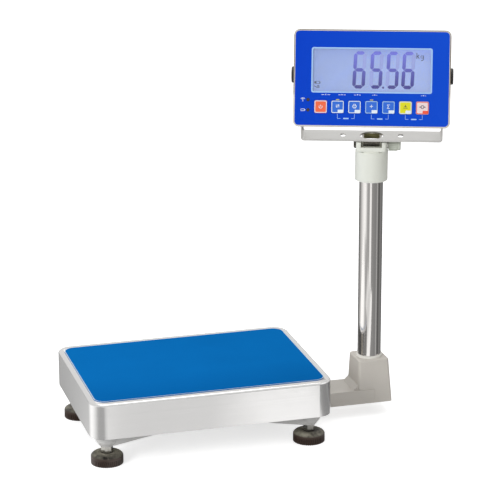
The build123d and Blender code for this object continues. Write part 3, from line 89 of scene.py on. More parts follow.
@dataclass
class Graph:
    """A node tree with short ways to add nodes and join them.

    Attributes:
        tree: The node tree that is being filled.
    """

    tree: Tree

    def add(self, kind: str, **settings: object) -> Node:
        """Adds one node.

        Args:
            kind: The node's type name.
            settings: Properties to set on it.

        Returns:
            The new node.
        """
        made = self.tree.nodes.new(kind)
        for key, value in settings.items():
            setattr(made, key, value)
        return made

    def feed(self, socket: Socket, value: object) -> None:
        """Joins a socket to an output, or sets its value.

        Args:
            socket: The input to fill.
            value: An output socket, or a plain value.
        """
        if isinstance(value, Socket):
            self.tree.links.new(value, socket)
        else:
            socket.default_value = value

    def preset(self, node: Node, **values: object) -> None:
        """Sets inputs of a node, named with underscores for spaces."""
        for key, value in values.items():
            self.feed(node.inputs[key.replace("_", " ")], value)

    def sum(self, operation: str, *values: object, clamp: bool = False) -> Socket:
        """Adds one arithmetic step.

        Args:
            operation: The Math node's operation.
            values: One to three sockets or numbers.
            clamp: Whether the result stays between zero and one.

        Returns:
            The result's socket.
        """
        made = self.add("ShaderNodeMath", operation=operation, use_clamp=clamp)
        for socket, value in zip(made.inputs, values):
            self.feed(socket, value)
        return made.outputs[0]

    def blend(self, factor: object, first: object, second: object) -> Socket:
        """Mixes two colours.

        Args:
            factor: How far the second shows, from zero to one.
            first: The first colour.
            second: The second colour.

        Returns:
            The result's socket.
        """
        made = self.add("ShaderNodeMix", data_type="RGBA")
        sockets = {socket.identifier: socket for socket in made.inputs}
        self.feed(sockets["Factor_Float"], factor)
        self.feed(sockets["A_Color"], first)
        self.feed(sockets["B_Color"], second)
        return next(s for s in made.outputs if s.identifier == "Result_Color")

    def ramp(self, value: object, low: float, high: float,
             floor: float = 0.0, ceiling: float = 1.0) -> Socket:
        """Maps a value from one range to another, held at the ends.

        Args:
            value: The socket to map.
            low: The value that gives the floor.
            high: The value that gives the ceiling.
            floor: The result at low.
            ceiling: The result at high.

        Returns:
            The mapped value's socket.
        """
        made = self.add("ShaderNodeMapRange")
        self.preset(made, Value=value, From_Min=low, From_Max=high, To_Min=floor, To_Max=ceiling)
        return made.outputs["Result"]

    def tones(self, value: object, stops: tuple[Flat, ...]) -> Socket:
        """Reads a grey tone from a list of stops.

        Args:
            value: The socket that runs along the list, from zero to one.
            stops: Pairs of place and linear tone, in rising order of place.

        Returns:
            The tone's socket.
        """
        made = self.add("ShaderNodeValToRGB")
        elements = made.color_ramp.elements
        while len(elements) < len(stops):
            elements.new(0.5)
        for element, (spot, _) in zip(elements, stops):
            element.position = spot
        for element, (_, tone) in zip(elements, stops):
            element.color = grey(tone)
        self.feed(made.inputs["Fac"], value)
        return made.outputs["Color"]

    def noise(self, where: object, scale: object, detail: float = 2.0,
              rough: float = 0.5) -> Socket:
        """Adds a noise texture.

        Args:
            where: The place that it is read at.
            scale: Its size, in waves a metre.
            detail: How many finer layers it has.
            rough: How strong each finer layer is.

        Returns:
            The value's socket.
        """
        made = self.add("ShaderNodeTexNoise")
        self.preset(made, Vector=where, Scale=scale, Detail=detail, Roughness=rough)
        return made.outputs[0]

    def place(self) -> Socket:
        """Returns the socket of the surface's place in the object."""
        return self.add("ShaderNodeTexCoord").outputs["Object"]

    def axes(self, vector: Socket | None = None) -> bpy.types.NodeOutputs:
        """Splits a vector, or the surface's place where none is given.

        Args:
            vector: The vector's socket.

        Returns:
            The sockets named X, Y and Z.
        """
        split = self.add("ShaderNodeSeparateXYZ")
        self.feed(split.inputs[0], self.place() if vector is None else vector)
        return split.outputs

    def around(self, centre: Flat) -> tuple[Socket, Socket]:
        """Measures the surface's place round an upright axis.

        Args:
            centre: Where the axis stands on the floor, in metres.

        Returns:
            The bearing from +X as a share of a turn, and the distance in metres.
        """
        spot = self.axes()
        across = self.sum("SUBTRACT", spot["X"], centre[0])
        along = self.sum("SUBTRACT", spot["Y"], centre[1])
        turn = self.sum("DIVIDE", self.sum("ARCTAN2", along, across), 2 * math.pi)
        square = self.sum("ADD", self.sum("MULTIPLY", across, across),
                          self.sum("MULTIPLY", along, along))
        return turn, self.sum("SQRT", square)

    def rays(self, *kinds: str) -> Socket:
        """Marks rays of some kinds.

        Args:
            kinds: Words such as "Camera" or "Glossy".

        Returns:
            The socket that is one for those rays and zero for the rest.
        """
        path = self.add("ShaderNodeLightPath").outputs
        seen = path[f"Is {kinds[0]} Ray"]
        for kind in kinds[1:]:
            seen = self.sum("MAXIMUM", seen, path[f"Is {kind} Ray"])
        return seen


@dataclass
class EffectShelf:
    """Builds each shared effect once, as a shader node group.

    Attributes:
        made: The groups built so far.
    """

    made: dict[Effect, Tree] = field(default_factory=dict)

    def get(self, effect: Effect) -> Tree:
        """Finds the group of an effect, building it at its first use.

        Args:
            effect: The effect wanted.

        Returns:
            Its group.
        """
        if effect not in self.made:
            builders = {Effect.GRAIN: self.grain, Effect.BRUSHING: self.brushing,
                        Effect.WEAR: self.wear, Effect.DUST: self.dust}
            self.made[effect] = builders[effect]()
        return self.made[effect]

    def start(self, effect: Effect, inputs: dict[str, tuple[str, object]],
              outputs: dict[str, str]) -> tuple[Graph, Node, Node]:
        """Starts a group with its sockets.

        Args:
            effect: The effect that the group makes.
            inputs: Socket name to type and first value.
            outputs: Socket name to type.

        Returns:
            The graph, the group's input node and its output node.
        """
        tree = bpy.data.node_groups.new(effect.value, "ShaderNodeTree")
        for name, (kind, value) in inputs.items():
            socket = tree.interface.new_socket(name, in_out="INPUT", socket_type=kind)
            socket.default_value = value
        for name, kind in outputs.items():
            tree.interface.new_socket(name, in_out="OUTPUT", socket_type=kind)
        graph = Graph(tree)
        return graph, graph.add("NodeGroupInput"), graph.add("NodeGroupOutput")

    def grain(self) -> Tree:
        """Builds fine grain for the bump, with broad clouding for the colour.

        Returns:
            The group.
        """
        graph, given, result = self.start(
            Effect.GRAIN,
            {"Scale": ("NodeSocketFloat", 900.0), "Cloud Scale": ("NodeSocketFloat", 14.0)},
            {"Height": "NodeSocketFloat", "Clouding": "NodeSocketFloat"})
        where = graph.place()
        cloud = graph.noise(where, given.outputs["Cloud Scale"], 4.0, 0.6)
        graph.preset(result, Height=graph.noise(where, given.outputs["Scale"], 3.0),
                     Clouding=graph.ramp(cloud, *CLOUD_SPAN))
        return graph.tree

    def brushing(self) -> Tree:
        """Builds long fine lines, as a brushing belt leaves on sheet metal.

        Returns:
            The group.
        """
        graph, given, result = self.start(
            Effect.BRUSHING,
            {"Turn": ("NodeSocketVector", (0.0, 0.0, 0.0)),
             "Stretch": ("NodeSocketVector", (6.0, 6.0, 1800.0))},
            {"Height": "NodeSocketFloat", "Streaks": "NodeSocketFloat"})
        mapping = graph.add("ShaderNodeMapping", vector_type="POINT")
        graph.preset(mapping, Vector=graph.place(), Rotation=given.outputs["Turn"])
        stretch = graph.add("ShaderNodeVectorMath", operation="MULTIPLY")
        graph.feed(stretch.inputs[0], mapping.outputs[0])
        graph.feed(stretch.inputs[1], given.outputs["Stretch"])
        wide = graph.noise(stretch.outputs[0], 0.13, 3.0, 0.6)
        graph.preset(result, Height=graph.noise(stretch.outputs[0], 1.0, 3.0, 0.65),
                     Streaks=graph.ramp(wide, *CLOUD_SPAN))
        return graph.tree

    def wear(self) -> Tree:
        """Builds rubbed edges, and a normal that rounds them.

        Returns:
            The group.
        """
        graph, given, result = self.start(
            Effect.WEAR,
            {"Radius": ("NodeSocketFloat", 0.0004), "Amount": ("NodeSocketFloat", 0.5),
             "Scale": ("NodeSocketFloat", 160.0)},
            {"Mask": "NodeSocketFloat", "Normal": "NodeSocketVector"})
        rounded = graph.add("ShaderNodeBevel", samples=4)
        graph.feed(rounded.inputs["Radius"], given.outputs["Radius"])
        flat = graph.add("ShaderNodeNewGeometry").outputs["Normal"]
        dot = graph.add("ShaderNodeVectorMath", operation="DOT_PRODUCT")
        graph.feed(dot.inputs[0], rounded.outputs[0])
        graph.feed(dot.inputs[1], flat)
        edge = graph.ramp(dot.outputs["Value"], *WEAR_BEND)
        spots = graph.noise(graph.place(), given.outputs["Scale"], 4.0, 0.7)
        worn = graph.sum("MULTIPLY", edge, graph.ramp(spots, *WEAR_SPOTS))
        graph.preset(result, Normal=rounded.outputs[0],
                     Mask=graph.sum("MULTIPLY", worn, given.outputs["Amount"], clamp=True))
        return graph.tree

    def dust(self) -> Tree:
        """Builds a thin patchy film on surfaces that face up: dust, and on the feet a painted
        sheen.

        Returns:
            The group.
        """
        graph, given, result = self.start(
            Effect.DUST,
            {"Amount": ("NodeSocketFloat", 0.2), "Scale": ("NodeSocketFloat", 40.0)},
            {"Mask": "NodeSocketFloat"})
        normal = graph.axes(graph.add("ShaderNodeNewGeometry").outputs["Normal"])
        upward = graph.ramp(normal["Z"], *DUST_AND_SHEEN_SLOPE)
        spots = graph.noise(graph.place(), given.outputs["Scale"], 5.0, 0.65)
        both = graph.sum("MULTIPLY", upward, graph.ramp(spots, *DUST_AND_SHEEN_SPOTS))
        graph.preset(result,
                     Mask=graph.sum("MULTIPLY", both, given.outputs["Amount"], clamp=True))
        return graph.tree


EFFECTS = EffectShelf()


# Finishes

@dataclass(frozen=True)
class Finish:
    """A solid finish with grain, clouding, worn edges and a little dust.

    Attributes:
        name: The material's name.
        colour: The main colour.
        shade: The colour that clouds over it.
        rough: The middle roughness.
        rough_span: How far clouding changes the roughness.
        metal: One for bare metal.
        cloud: How far the shade shows, from zero to one.
        cloud_scale: Size of the clouding, in waves a metre.
        grain_scale: Size of the grain, in waves a metre.
        grain_depth: Depth of the grain, in metres.
        wear: How far rubbed edges show.
        wear_colour: The colour of a rubbed edge.
        edge: Radius that edges look rounded to, in metres.
        dust: How much dust lies on it; on the feet, how strongly their tops are painted lighter as
            a sheen.
        dust_and_sheen_colour: The dust's colour, and on the feet the colour of that painted sheen.
        coat: Strength of a clear coat.
        specular: Strength of the plain reflection.
    """

    name: str
    colour: str
    shade: str
    rough: float = 0.5
    rough_span: float = 0.08
    metal: float = 0.0
    cloud: float = 0.35
    cloud_scale: float = 14.0
    grain_scale: float = 900.0
    grain_depth: float = 0.00002
    wear: float = 0.2
    wear_colour: str = "e8e6e2"
    edge: float = 0.0004
    dust: float = 0.08
    dust_and_sheen_colour: str = "d9d5cc"
    coat: float = 0.0
    specular: float = 0.5

    def material(self) -> bpy.types.Material:
        """Finds this finish's material, building it at its first use.

        Returns:
            The material.
        """
        known = bpy.data.materials.get(self.name)
        if known is not None:
            return known
        made = bpy.data.materials.new(self.name)
        made.use_nodes = True
        made.diffuse_color = paint(self.colour)
        graph = Graph(made.node_tree)
        shader = made.node_tree.nodes["Principled BSDF"]
        graph.preset(shader, Metallic=self.metal, Coat_Weight=self.coat,
                     Coat_Roughness=COAT_ROUGHNESS, Specular_IOR_Level=self.specular)
        self.dress(graph, shader)
        return made

    def group(self, graph: Graph, effect: Effect, **values: object) -> Node:
        """Places a shared effect in the material.

        Args:
            graph: The material's graph.
            effect: The effect to place.
            values: Its inputs, with underscores for spaces.

        Returns:
            The group node.
        """
        made = graph.add("ShaderNodeGroup", node_tree=EFFECTS.get(effect))
        graph.preset(made, **values)
        return made

    def grain(self, graph: Graph) -> Node:
        """Places the grain at this finish's scales."""
        return self.group(graph, Effect.GRAIN, Scale=self.grain_scale,
                          Cloud_Scale=self.cloud_scale)

    def base(self, graph: Graph, clouding: Socket) -> Socket:
        """Returns the colour before wear and dust."""
        amount = graph.sum("MULTIPLY", clouding, self.cloud)
        return graph.blend(amount, paint(self.colour), paint(self.shade))

    def height(self, graph: Graph, grain: Socket) -> Socket:
        """Returns the height that the bump reads, in metres."""
        return graph.sum("MULTIPLY", grain, self.grain_depth)

    def dress(self, graph: Graph, shader: Node) -> None:
        """Joins the effects to the shader.

        Args:
            graph: The material's graph.
            shader: Its Principled BSDF.
        """
        grain = self.grain(graph)
        wear = self.group(graph, Effect.WEAR, Radius=self.edge, Amount=self.wear)
        dust = self.group(graph, Effect.DUST, Amount=self.dust)
        colour = self.base(graph, grain.outputs["Clouding"])
        colour = graph.blend(wear.outputs["Mask"], colour, paint(self.wear_colour))
        # Dust; at full strength, as on the feet, it is a painted sheen on the tops.
        colour = graph.blend(dust.outputs["Mask"], colour, paint(self.dust_and_sheen_colour))
        graph.preset(shader, Base_Color=colour)
        rough = graph.ramp(grain.outputs["Clouding"], 0.0, 1.0,
                           self.rough - self.rough_span, self.rough + self.rough_span)
        dusty = graph.sum("MULTIPLY", dust.outputs["Mask"], DUST_ROUGHNESS)
        bump = graph.add("ShaderNodeBump")
        graph.preset(bump, Distance=1.0, Height=self.height(graph, grain.outputs["Height"]),
                     Normal=wear.outputs["Normal"])
        graph.preset(shader, Roughness=graph.sum("ADD", rough, dusty, clamp=True),
                     Normal=bump.outputs["Normal"])


@dataclass(frozen=True)
class BrushedMetal(Finish):
    """Bare sheet metal with brushed lines.

    Attributes:
        turn: Rotation of the brushing, in radians.
        stretch: Waves a metre along each axis after the turn.
        line_depth: Depth of the lines, in metres.
        streak: How far broad streaks change the colour.
    """

    metal: float = 1.0
    wear: float = 0.0
    turn: Point = (0.0, 0.0, 0.0)
    stretch: Point = (6.0, 6.0, 1800.0)
    line_depth: float = 0.000004
    streak: float = 0.3

    def dress(self, graph: Graph, shader: Node) -> None:
        """Joins the brushed lines to the shader, over the plain effects.

        Args:
            graph: The material's graph.
            shader: Its Principled BSDF.
        """
        super().dress(graph, shader)
        lines = self.group(graph, Effect.BRUSHING, Turn=self.turn, Stretch=self.stretch)
        amount = graph.sum("MULTIPLY", lines.outputs["Streaks"], self.streak)
        under = shader.inputs["Base Color"].links[0].from_socket
        graph.feed(shader.inputs["Base Color"], graph.blend(amount, under, paint(self.shade)))
        bump = shader.inputs["Normal"].links[0].from_node
        height = graph.sum("MULTIPLY", lines.outputs["Height"], self.line_depth)
        graph.feed(bump.inputs["Height"], height)


@dataclass(frozen=True)
class ThreadedSteel(Finish):
    """Plated steel with a screw thread cut round one upright axis.

    Attributes:
        centre: Where the axis stands on the floor, in metres.
        pitch: Height of one turn, in metres.
        reach: Largest distance from the axis that carries thread, in metres.
        depth: Twice the height of the thread, in metres.
    """

    metal: float = 1.0
    centre: Flat = (0.0, 0.0)
    pitch: float = 0.0015
    reach: float = 0.0052
    depth: float = 0.0016

    def height(self, graph: Graph, grain: Socket) -> Socket:
        """Lays the grain on the thread.

        Args:
            graph: The material's graph.
            grain: The grain's socket.

        Returns:
            The height, in metres.
        """
        angle, radius = graph.around(self.centre)
        turns = graph.sum("SUBTRACT", graph.sum("DIVIDE", graph.axes()["Z"], self.pitch), angle)
        wave = graph.sum("PINGPONG", turns, 0.5)
        inside = graph.sum("LESS_THAN", radius, self.reach)
        thread = graph.sum("MULTIPLY", graph.sum("MULTIPLY", wave, inside), self.depth)
        return graph.sum("ADD", thread, graph.sum("MULTIPLY", grain, self.grain_depth))


@dataclass(frozen=True)
class RibbedRubber(Finish):
    """Rubber with painted shade between its ribs: the crests are painted a lighter brown than the
    dark grooves, round one upright axis.

    Attributes:
        centre: Where the axis stands on the floor, in metres.
        groove: Distance of the grooves' bottoms from the axis, in metres.
        crest: Distance of the crests from it, in metres.
        crest_painted_light_colour: The lighter brown painted on the crests, against the painted
            shade of the grooves.
    """

    centre: Flat = (0.0, 0.0)
    groove: float = 0.0247
    crest: float = 0.0259
    crest_painted_light_colour: str = "38281f"

    def base(self, graph: Graph, clouding: Socket) -> Socket:
        """Returns the rubber's colour, dark in the grooves as painted shade and lighter on the
        crests of its ribs.
        """
        crests = graph.ramp(graph.around(self.centre)[1], self.groove, self.crest)
        return graph.blend(crests, super().base(graph, clouding), paint(self.crest_painted_light_colour))


@dataclass(frozen=True)
class FadedFinish(Finish):
    """A finish whose colour fades across the part from one colour to another.

    Attributes:
        fade_to: The colour at the far end.
        axis: Which coordinate the fade follows.
        low: Where it starts, in metres.
        high: Where it ends, in metres.
        painted_glow: How much of the colour the surface gives out itself, as painted light.
    """

    fade_to: str = "ffffff"
    axis: str = "X"
    low: float = 0.0
    high: float = 1.0
    painted_glow: float = 0.0

    def base(self, graph: Graph, clouding: Socket) -> Socket:
        """Lays a trace of clouding over the fade.

        Args:
            graph: The material's graph.
            clouding: The clouding's socket.

        Returns:
            The colour's socket.
        """
        faded = graph.blend(graph.ramp(graph.axes()[self.axis], self.low, self.high),
                            paint(self.colour), paint(self.fade_to))
        amount = graph.sum("MULTIPLY", clouding, self.cloud)
        return graph.blend(amount, faded, paint(self.shade))

    def dress(self, graph: Graph, shader: Node) -> None:
        """Joins the fade to the shader, and gives the display a painted glow.

        Args:
            graph: The material's graph.
            shader: Its Principled BSDF.
        """
        super().dress(graph, shader)
        if self.painted_glow > 0:
            graph.preset(shader, Emission_Strength=self.painted_glow,
                         Emission_Color=shader.inputs["Base Color"].links[0].from_socket)


@dataclass(frozen=True)
class ClearPane(Finish):
    """A clear sheet that keeps its gloss and lets the display show."""

    def dress(self, graph: Graph, shader: Node) -> None:
        """Makes the pane almost clear, with a faint haze of finger marks.

        Args:
            graph: The material's graph.
            shader: Its Principled BSDF.
        """
        grain = self.grain(graph)
        haze = grain.outputs["Clouding"]
        graph.preset(shader, Base_Color=paint(self.colour),
                     Roughness=graph.ramp(haze, 0.0, 1.0, *PANE_ROUGHNESS),
                     Alpha=graph.ramp(haze, 0.0, 1.0, *PANE_ALPHA))


def flat_ink(name: str, colour: str, shade: str) -> Finish:
    """Returns a flat print without grain, wear or dust."""
    return Finish(name, colour, shade, rough=0.4, grain_depth=0.0, wear=0.0, dust=0.0,
                  edge=0.00005)


def key_plastic(name: str, colour: str, shade: str, rough: float = 0.38) -> Finish:
    """Returns the smooth plastic of a key."""
    return Finish(name, colour, shade, rough=rough, grain_depth=0.00001, wear=0.1, dust=0.02,
                  edge=0.0003, coat=0.1)


SATIN_STEEL = BrushedMetal("pan_brushed_steel", "e6e5e4", "c4c2c0", rough=0.22, rough_span=0.03,
                           cloud=0.1, stretch=(5.0, 5.0, 2200.0), line_depth=0.000011,
                           streak=0.1, dust=0.0, edge=0.0006)
BRACKET_STEEL = BrushedMetal("bracket_satin_steel", "dad9d6", "bab8b4", rough=0.36, cloud=0.2,
                             turn=(0.0, 0.0, math.radians(20)), stretch=(8.0, 1500.0, 1500.0),
                             streak=0.3, dust=0.0)
TUBE_STEEL = BrushedMetal("polished_tube", "e6e3e0", "cfccc8", rough=0.09, rough_span=0.03,
                          cloud=0.1, stretch=(90.0, 90.0, 2.0), line_depth=0.0000006,
                          streak=0.1, dust=0.0, edge=0.0003)
ZINC = Finish("zinc_plated_steel", "c9c8c2", "96958c", rough=0.3, metal=1.0, cloud=0.4,
              cloud_scale=120.0, wear=0.3, grain_scale=2500.0, grain_depth=0.000004, dust=0.0)
# Painted shade: the pivot bolt is painted darker than the other plated steel because it sits in
# the shaded window of the clevis.
SHADED_PIVOT_STEEL = Finish("pivot_bolt_painted_shade", "8d8a82", "35322d", rough=0.3, metal=1.0, cloud=1.0,
                     cloud_scale=140.0, wear=0.3, grain_scale=2500.0, grain_depth=0.000004,
                     dust=0.0)
OLIVE_ZINC = Finish("olive_passivated_plate", "8f8a5c", "6b6744", rough=0.42, metal=0.35,
                    cloud=0.8, cloud_scale=110.0, wear=0.3, wear_colour="b9b48c",
                    grain_scale=1800.0, grain_depth=0.00001, dust=0.0)
BLACK_OXIDE = Finish("black_oxide_steel", "2c2b2a", "161515", rough=0.42, metal=1.0,
                     cloud_scale=150.0, wear=0.3, wear_colour="8a8884", grain_depth=0.000006)
SPRING_BRASS = Finish("turned_brass", "c9a14e", "8f6d2c", rough=0.28, metal=1.0,
                      cloud_scale=200.0, grain_scale=3000.0, grain_depth=0.000004, dust=0.0)
CELL_ALLOY = BrushedMetal("milled_cell_alloy", "d2d4d6", "a9abad", rough=0.38, cloud=0.2,
                          stretch=(1200.0, 8.0, 8.0), line_depth=0.000006, dust=0.0)
GROUND_STEEL = BrushedMetal("ground_spacer_plate", "aaa9a6", "7d7c79", rough=0.4,
                            stretch=(8.0, 1400.0, 1400.0), dust=0.0)
FRAME_PAINT = Finish("frame_casting_paint", "d4d3d1", "bab9b6", rough=0.48, cloud=0.3,
                     grain_scale=420.0, grain_depth=0.00014, wear=0.35, dust=0.2, edge=0.0009)
ARM_PAINT = Finish("column_casting_paint", "d0cbc3", "bab4ab", rough=0.42, cloud=0.25,
                   grain_scale=520.0, grain_depth=0.0001, wear=0.2, dust=0.06, edge=0.0009,
                   coat=0.12)
SOFT_RUBBER = Finish("soft_black_rubber", "1c1c1c", "2b2b2a", rough=0.7, grain_depth=0.00003,
                     wear=0.15, wear_colour="4a4a48")
WHITE_MOULDING = Finish("white_head_moulding", "eceee4", "dfe2d6", rough=0.4, cloud=0.25,
                        grain_scale=1300.0, grain_depth=0.00002, wear=0.1, dust=0.05,
                        edge=0.0007, coat=0.1)
COLLAR_WHITE = Finish("white_collar_moulding", "f0eee8", "dedbd2", rough=0.35, dust=0.04)
KNOB_GREY = Finish("grey_knob_moulding", "ccd0c4", "b3b8aa", rough=0.45, cloud=0.4,
                   grain_scale=1500.0, grain_depth=0.00002, wear=0.2, dust=0.05)
CASE_CREAM = Finish("cream_case_moulding", "ded9cc", "c8bfab", rough=0.45, cloud=0.3,
                    grain_scale=1500.0, grain_depth=0.00003, wear=0.12, dust=0.04, edge=0.0006)
# Painted shade: the case's rounded edge is painted pale low on the face and dark brown higher up.
CASE_RIM_PAINTED_SHADE = FadedFinish("case_edge_painted_shade", "dcd4cc", "c4bab0", rough=0.4, cloud=0.2,
                       grain_depth=0.00001, wear=0.0, dust=0.0, fade_to="6b5f54", axis="Z",
                       low=0.5545, high=0.560)
BLACK_MOULDING = Finish("black_knob_moulding", "211f1e", "35312e", rough=0.42,
                        grain_scale=1600.0, grain_depth=0.00002, wear=0.3,
                        wear_colour="5a5753", dust=0.05)
FIBRE = Finish("red_fibre_disc", "7c3b22", "5c2a18", rough=0.7, grain_depth=0.00004)
MAT_BLUE = FadedFinish("blue_pan_mat", "0a69b4", "0a62a8", rough=0.6, cloud=0.3,
                       cloud_scale=6.0, grain_scale=700.0, grain_depth=0.00003, wear=0.0,
                       dust=0.0, fade_to="0d74c2", axis="Y", low=-0.13, high=-0.03,
                       specular=0.0)
MAT_EDGE = Finish("mat_pale_edge_line", "cfe0ea", "b4cbd8", rough=0.4, grain_depth=0.00001, wear=0.0)
FILM_BLUE = FadedFinish("printed_blue_film", "0d43c8", "0b3cba", rough=0.3, cloud=0.15,
                        cloud_scale=9.0, grain_scale=2600.0, grain_depth=0.000006, wear=0.0,
                        dust=0.0, edge=0.0002, fade_to="1650d4", axis="X",
                        low=0.17, high=0.42, specular=0.05)
PANE = ClearPane("clear_display_pane", "eef2ff", "ffffff", grain_scale=60.0, cloud_scale=25.0)
# Painted light: the display's field and its segments give out a little light of their own.
LCD_FIELD = FadedFinish("display_field", "a9bff0", "97acdb", rough=0.35, cloud=0.4,
                        cloud_scale=13.0, grain_depth=0.0, wear=0.0, dust=0.0, edge=0.0001,
                        fade_to="b4c8fa", axis="X", low=0.21, high=0.39, painted_glow=0.16)
SEGMENT = FadedFinish("display_segments", "2a2382", "352d94", rough=0.4, cloud=0.2,
                      cloud_scale=40.0, grain_depth=0.0, wear=0.0, dust=0.0, edge=0.00005,
                      fade_to="7074de", axis="Z", low=0.572, high=0.622, painted_glow=0.06)
SEGMENT_OFF = flat_ink("display_idle_segments", "9ea9e4", "929edc")
BOARD = Finish("green_board", "14512c", "0d3c20", rough=0.35, cloud_scale=90.0,
               grain_depth=0.00001, wear=0.0, coat=0.2)
LAMP_LENS = Finish("dark_lamp_lens", "2a0f12", "180a0c", rough=0.2, coat=0.6, wear=0.0)
BATTERY_CASE = Finish("battery_moulding", "2b2c30", "1d1e22", rough=0.55, grain_depth=0.00003)
KEY_ORANGE = key_plastic("orange_key", "f26a41", "ea5f38")
KEY_BLUE = key_plastic("blue_key", "2a6bd8", "2160cd", rough=0.36)
KEY_YELLOW = key_plastic("yellow_key", "e3e012", "d6cf18")
KEY_PALE = key_plastic("pale_key", "f3dfe0", "ecd2d2")
INK_WHITE = flat_ink("white_print", "e9f1fb", "d6e4f6")
INK_SKY = flat_ink("sky_print", "a9cdf4", "93bcee")
INK_DARK = flat_ink("dark_print", "2a2a44", "22223a")
INK_ORANGE = flat_ink("orange_print", "f2573a", "e84c31")
INK_GOLD = flat_ink("gold_print", "c6c14a", "b7b03f")
WELD = BrushedMetal("weld_bead_steel", "c9c4ba", "8d877c", rough=0.4, cloud=0.6,
                    cloud_scale=300.0, stretch=(700.0, 700.0, 700.0), line_depth=0.00003)


# Shapes

def rounded_outline(width: float, height: float, corner: float, x: float = 0.0, y: float = 0.0,
                    steps: int = 6) -> list[Flat]:
    """Lists the points of a rounded rectangle, anticlockwise.

    Args:
        width: Size along X.
        height: Size along Y.
        corner: Corner radius.
        x: The middle along X.
        y: The middle along Y.
        steps: Points in each corner, less one.

    Returns:
        The outline's points.
    """
    points = []
    for sx, sy, start in ((1, -1, -90), (1, 1, 0), (-1, 1, 90), (-1, -1, 180)):
        for k in range(steps + 1):
            angle = math.radians(start + 90 * k / steps)
            points.append((x + sx * (width / 2 - corner) + corner * math.cos(angle),
                           y + sy * (height / 2 - corner) + corner * math.sin(angle)))
    return points


def circle_outline(radius: float, x: float = 0.0, y: float = 0.0, steps: int = 32) -> list[Flat]:
    """Lists the points of a circle, anticlockwise."""
    return [(x + radius * math.cos(2 * math.pi * k / steps),
             y + radius * math.sin(2 * math.pi * k / steps)) for k in range(steps)]


def linked(name: str, data: bpy.types.ID) -> bpy.types.Object:
    """Makes an object and puts it in the scene.

    Args:
        name: Its name.
        data: Its mesh, light or camera.

    Returns:
        The object.
    """
    made = bpy.data.objects.new(name, data)
    bpy.context.scene.collection.objects.link(made)
    return made


@dataclass
class Drawing:
    """Gathers flat and solid shapes, in millimetres, into one mesh piece.

    Attributes:
        points: The mesh's points.
        faces: The mesh's faces.
    """

    points: list[Point] = field(default_factory=list)
    faces: list[tuple[int, ...]] = field(default_factory=list)

    def patch(self, outline: list[Flat], z: float) -> None:
        """Adds a filled flat shape.

        Args:
            outline: Its outline.
            z: Its height.
        """
        start = len(self.points)
        self.points += [(x, y, z) for x, y in outline]
        self.faces.append(tuple(range(start, start + len(outline))))

    def band(self, outer: list[Flat], inner: list[Flat], z: float) -> None:
        """Adds the flat band between two outlines with equal counts of points."""
        self.slope(outer, z, inner, z)

    def slope(self, outer: list[Flat], low: float, inner: list[Flat], high: float) -> None:
        """Adds the strip between two outlines with equal counts of points, at two heights.

        Args:
            outer: The first outline.
            low: Its height.
            inner: The second outline.
            high: Its height.
        """
        start, count = len(self.points), len(outer)
        self.points += [(x, y, low) for x, y in outer] + [(x, y, high) for x, y in inner]
        for k in range(count):
            n = (k + 1) % count
            self.faces.append((start + k, start + n, start + count + n, start + count + k))

    def line(self, first: Flat, second: Flat, width: float, z: float) -> None:
        """Adds a flat stroke.

        Args:
            first: Where it starts.
            second: Where it ends.
            width: Its width.
            z: Its height.
        """
        dx, dy = second[0] - first[0], second[1] - first[1]
        length = math.hypot(dx, dy) or 1.0
        ox, oy = -dy / length * width / 2, dx / length * width / 2
        self.patch([(first[0] + ox, first[1] + oy), (first[0] - ox, first[1] - oy),
                    (second[0] - ox, second[1] - oy), (second[0] + ox, second[1] + oy)], z)

    def path(self, points: list[Flat], width: float, z: float) -> None:
        """Adds a flat stroke through several points."""
        for first, second in zip(points, points[1:]):
            self.line(first, second, width, z)

    def prism(self, outline: list[Flat], low: float, high: float) -> None:
        """Adds a solid block over an outline.

        Args:
            outline: The block's outline.
            low: Its lower height.
            high: Its upper height.
        """
        start, count = len(self.points), len(outline)
        self.faces.append(tuple(reversed(range(start, start + count))))
        self.faces.append(tuple(range(start + count, start + 2 * count)))
        self.slope(outline, low, outline, high)

    def bead(self, path: list[Point], radii: list[float]) -> None:
        """Adds a round bead along a path, with its own radius at each point.

        Args:
            path: The points of the bead's middle line.
            radii: The bead's radius at each point.
        """
        start, sides = len(self.points), BEAD_SIDES
        for k, point in enumerate(path):
            ahead = Vector(path[min(k + 1, len(path) - 1)]) - Vector(path[max(k - 1, 0)])
            ahead.normalize()
            side = ahead.cross(Vector((0.0, 0.0, 1.0)))
            side = side.normalized() if side.length > 0.01 else Vector((1.0, 0.0, 0.0))
            other = side.cross(ahead)
            for s in range(sides):
                angle = 2 * math.pi * s / sides
                out = side * math.cos(angle) + other * math.sin(angle)
                self.points.append(tuple(Vector(point) + radii[k] * out))
        for k in range(len(path) - 1):
            for s in range(sides):
                n = (s + 1) % sides
                low, high = start + k * sides, start + (k + 1) * sides
                self.faces.append((low + s, low + n, high + n, high + s))
        self.faces.append(tuple(range(start, start + sides)))
        last = start + (len(path) - 1) * sides
        self.faces.append(tuple(reversed(range(last, last + sides))))

    def piece(self, name: str, body: str, finish: Finish, place: Matrix,
              smooth: bool = False) -> bpy.types.Object:
        """Makes the object, places it and lets it ride on a body.

        Args:
            name: The piece's name.
            body: The CAD body that it moves with.
            finish: Its finish.
            place: Where the drawing's own frame stands, in metres.
            smooth: Whether its faces are shaded smooth.

        Returns:
            The finished object.
        """
        mesh = bpy.data.meshes.new(name)
        spots = [place @ (Vector(p) * MM) for p in self.points]
        mesh.from_pydata([tuple(p) for p in spots], [], self.faces)
        mesh.validate()
        mesh.update()
        if smooth:
            mesh.shade_smooth()
        mesh.materials.append(finish.material())
        made = linked(name, mesh)
        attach(made, body)
        LOG.info("piece %s on %s", name, body)
        return made


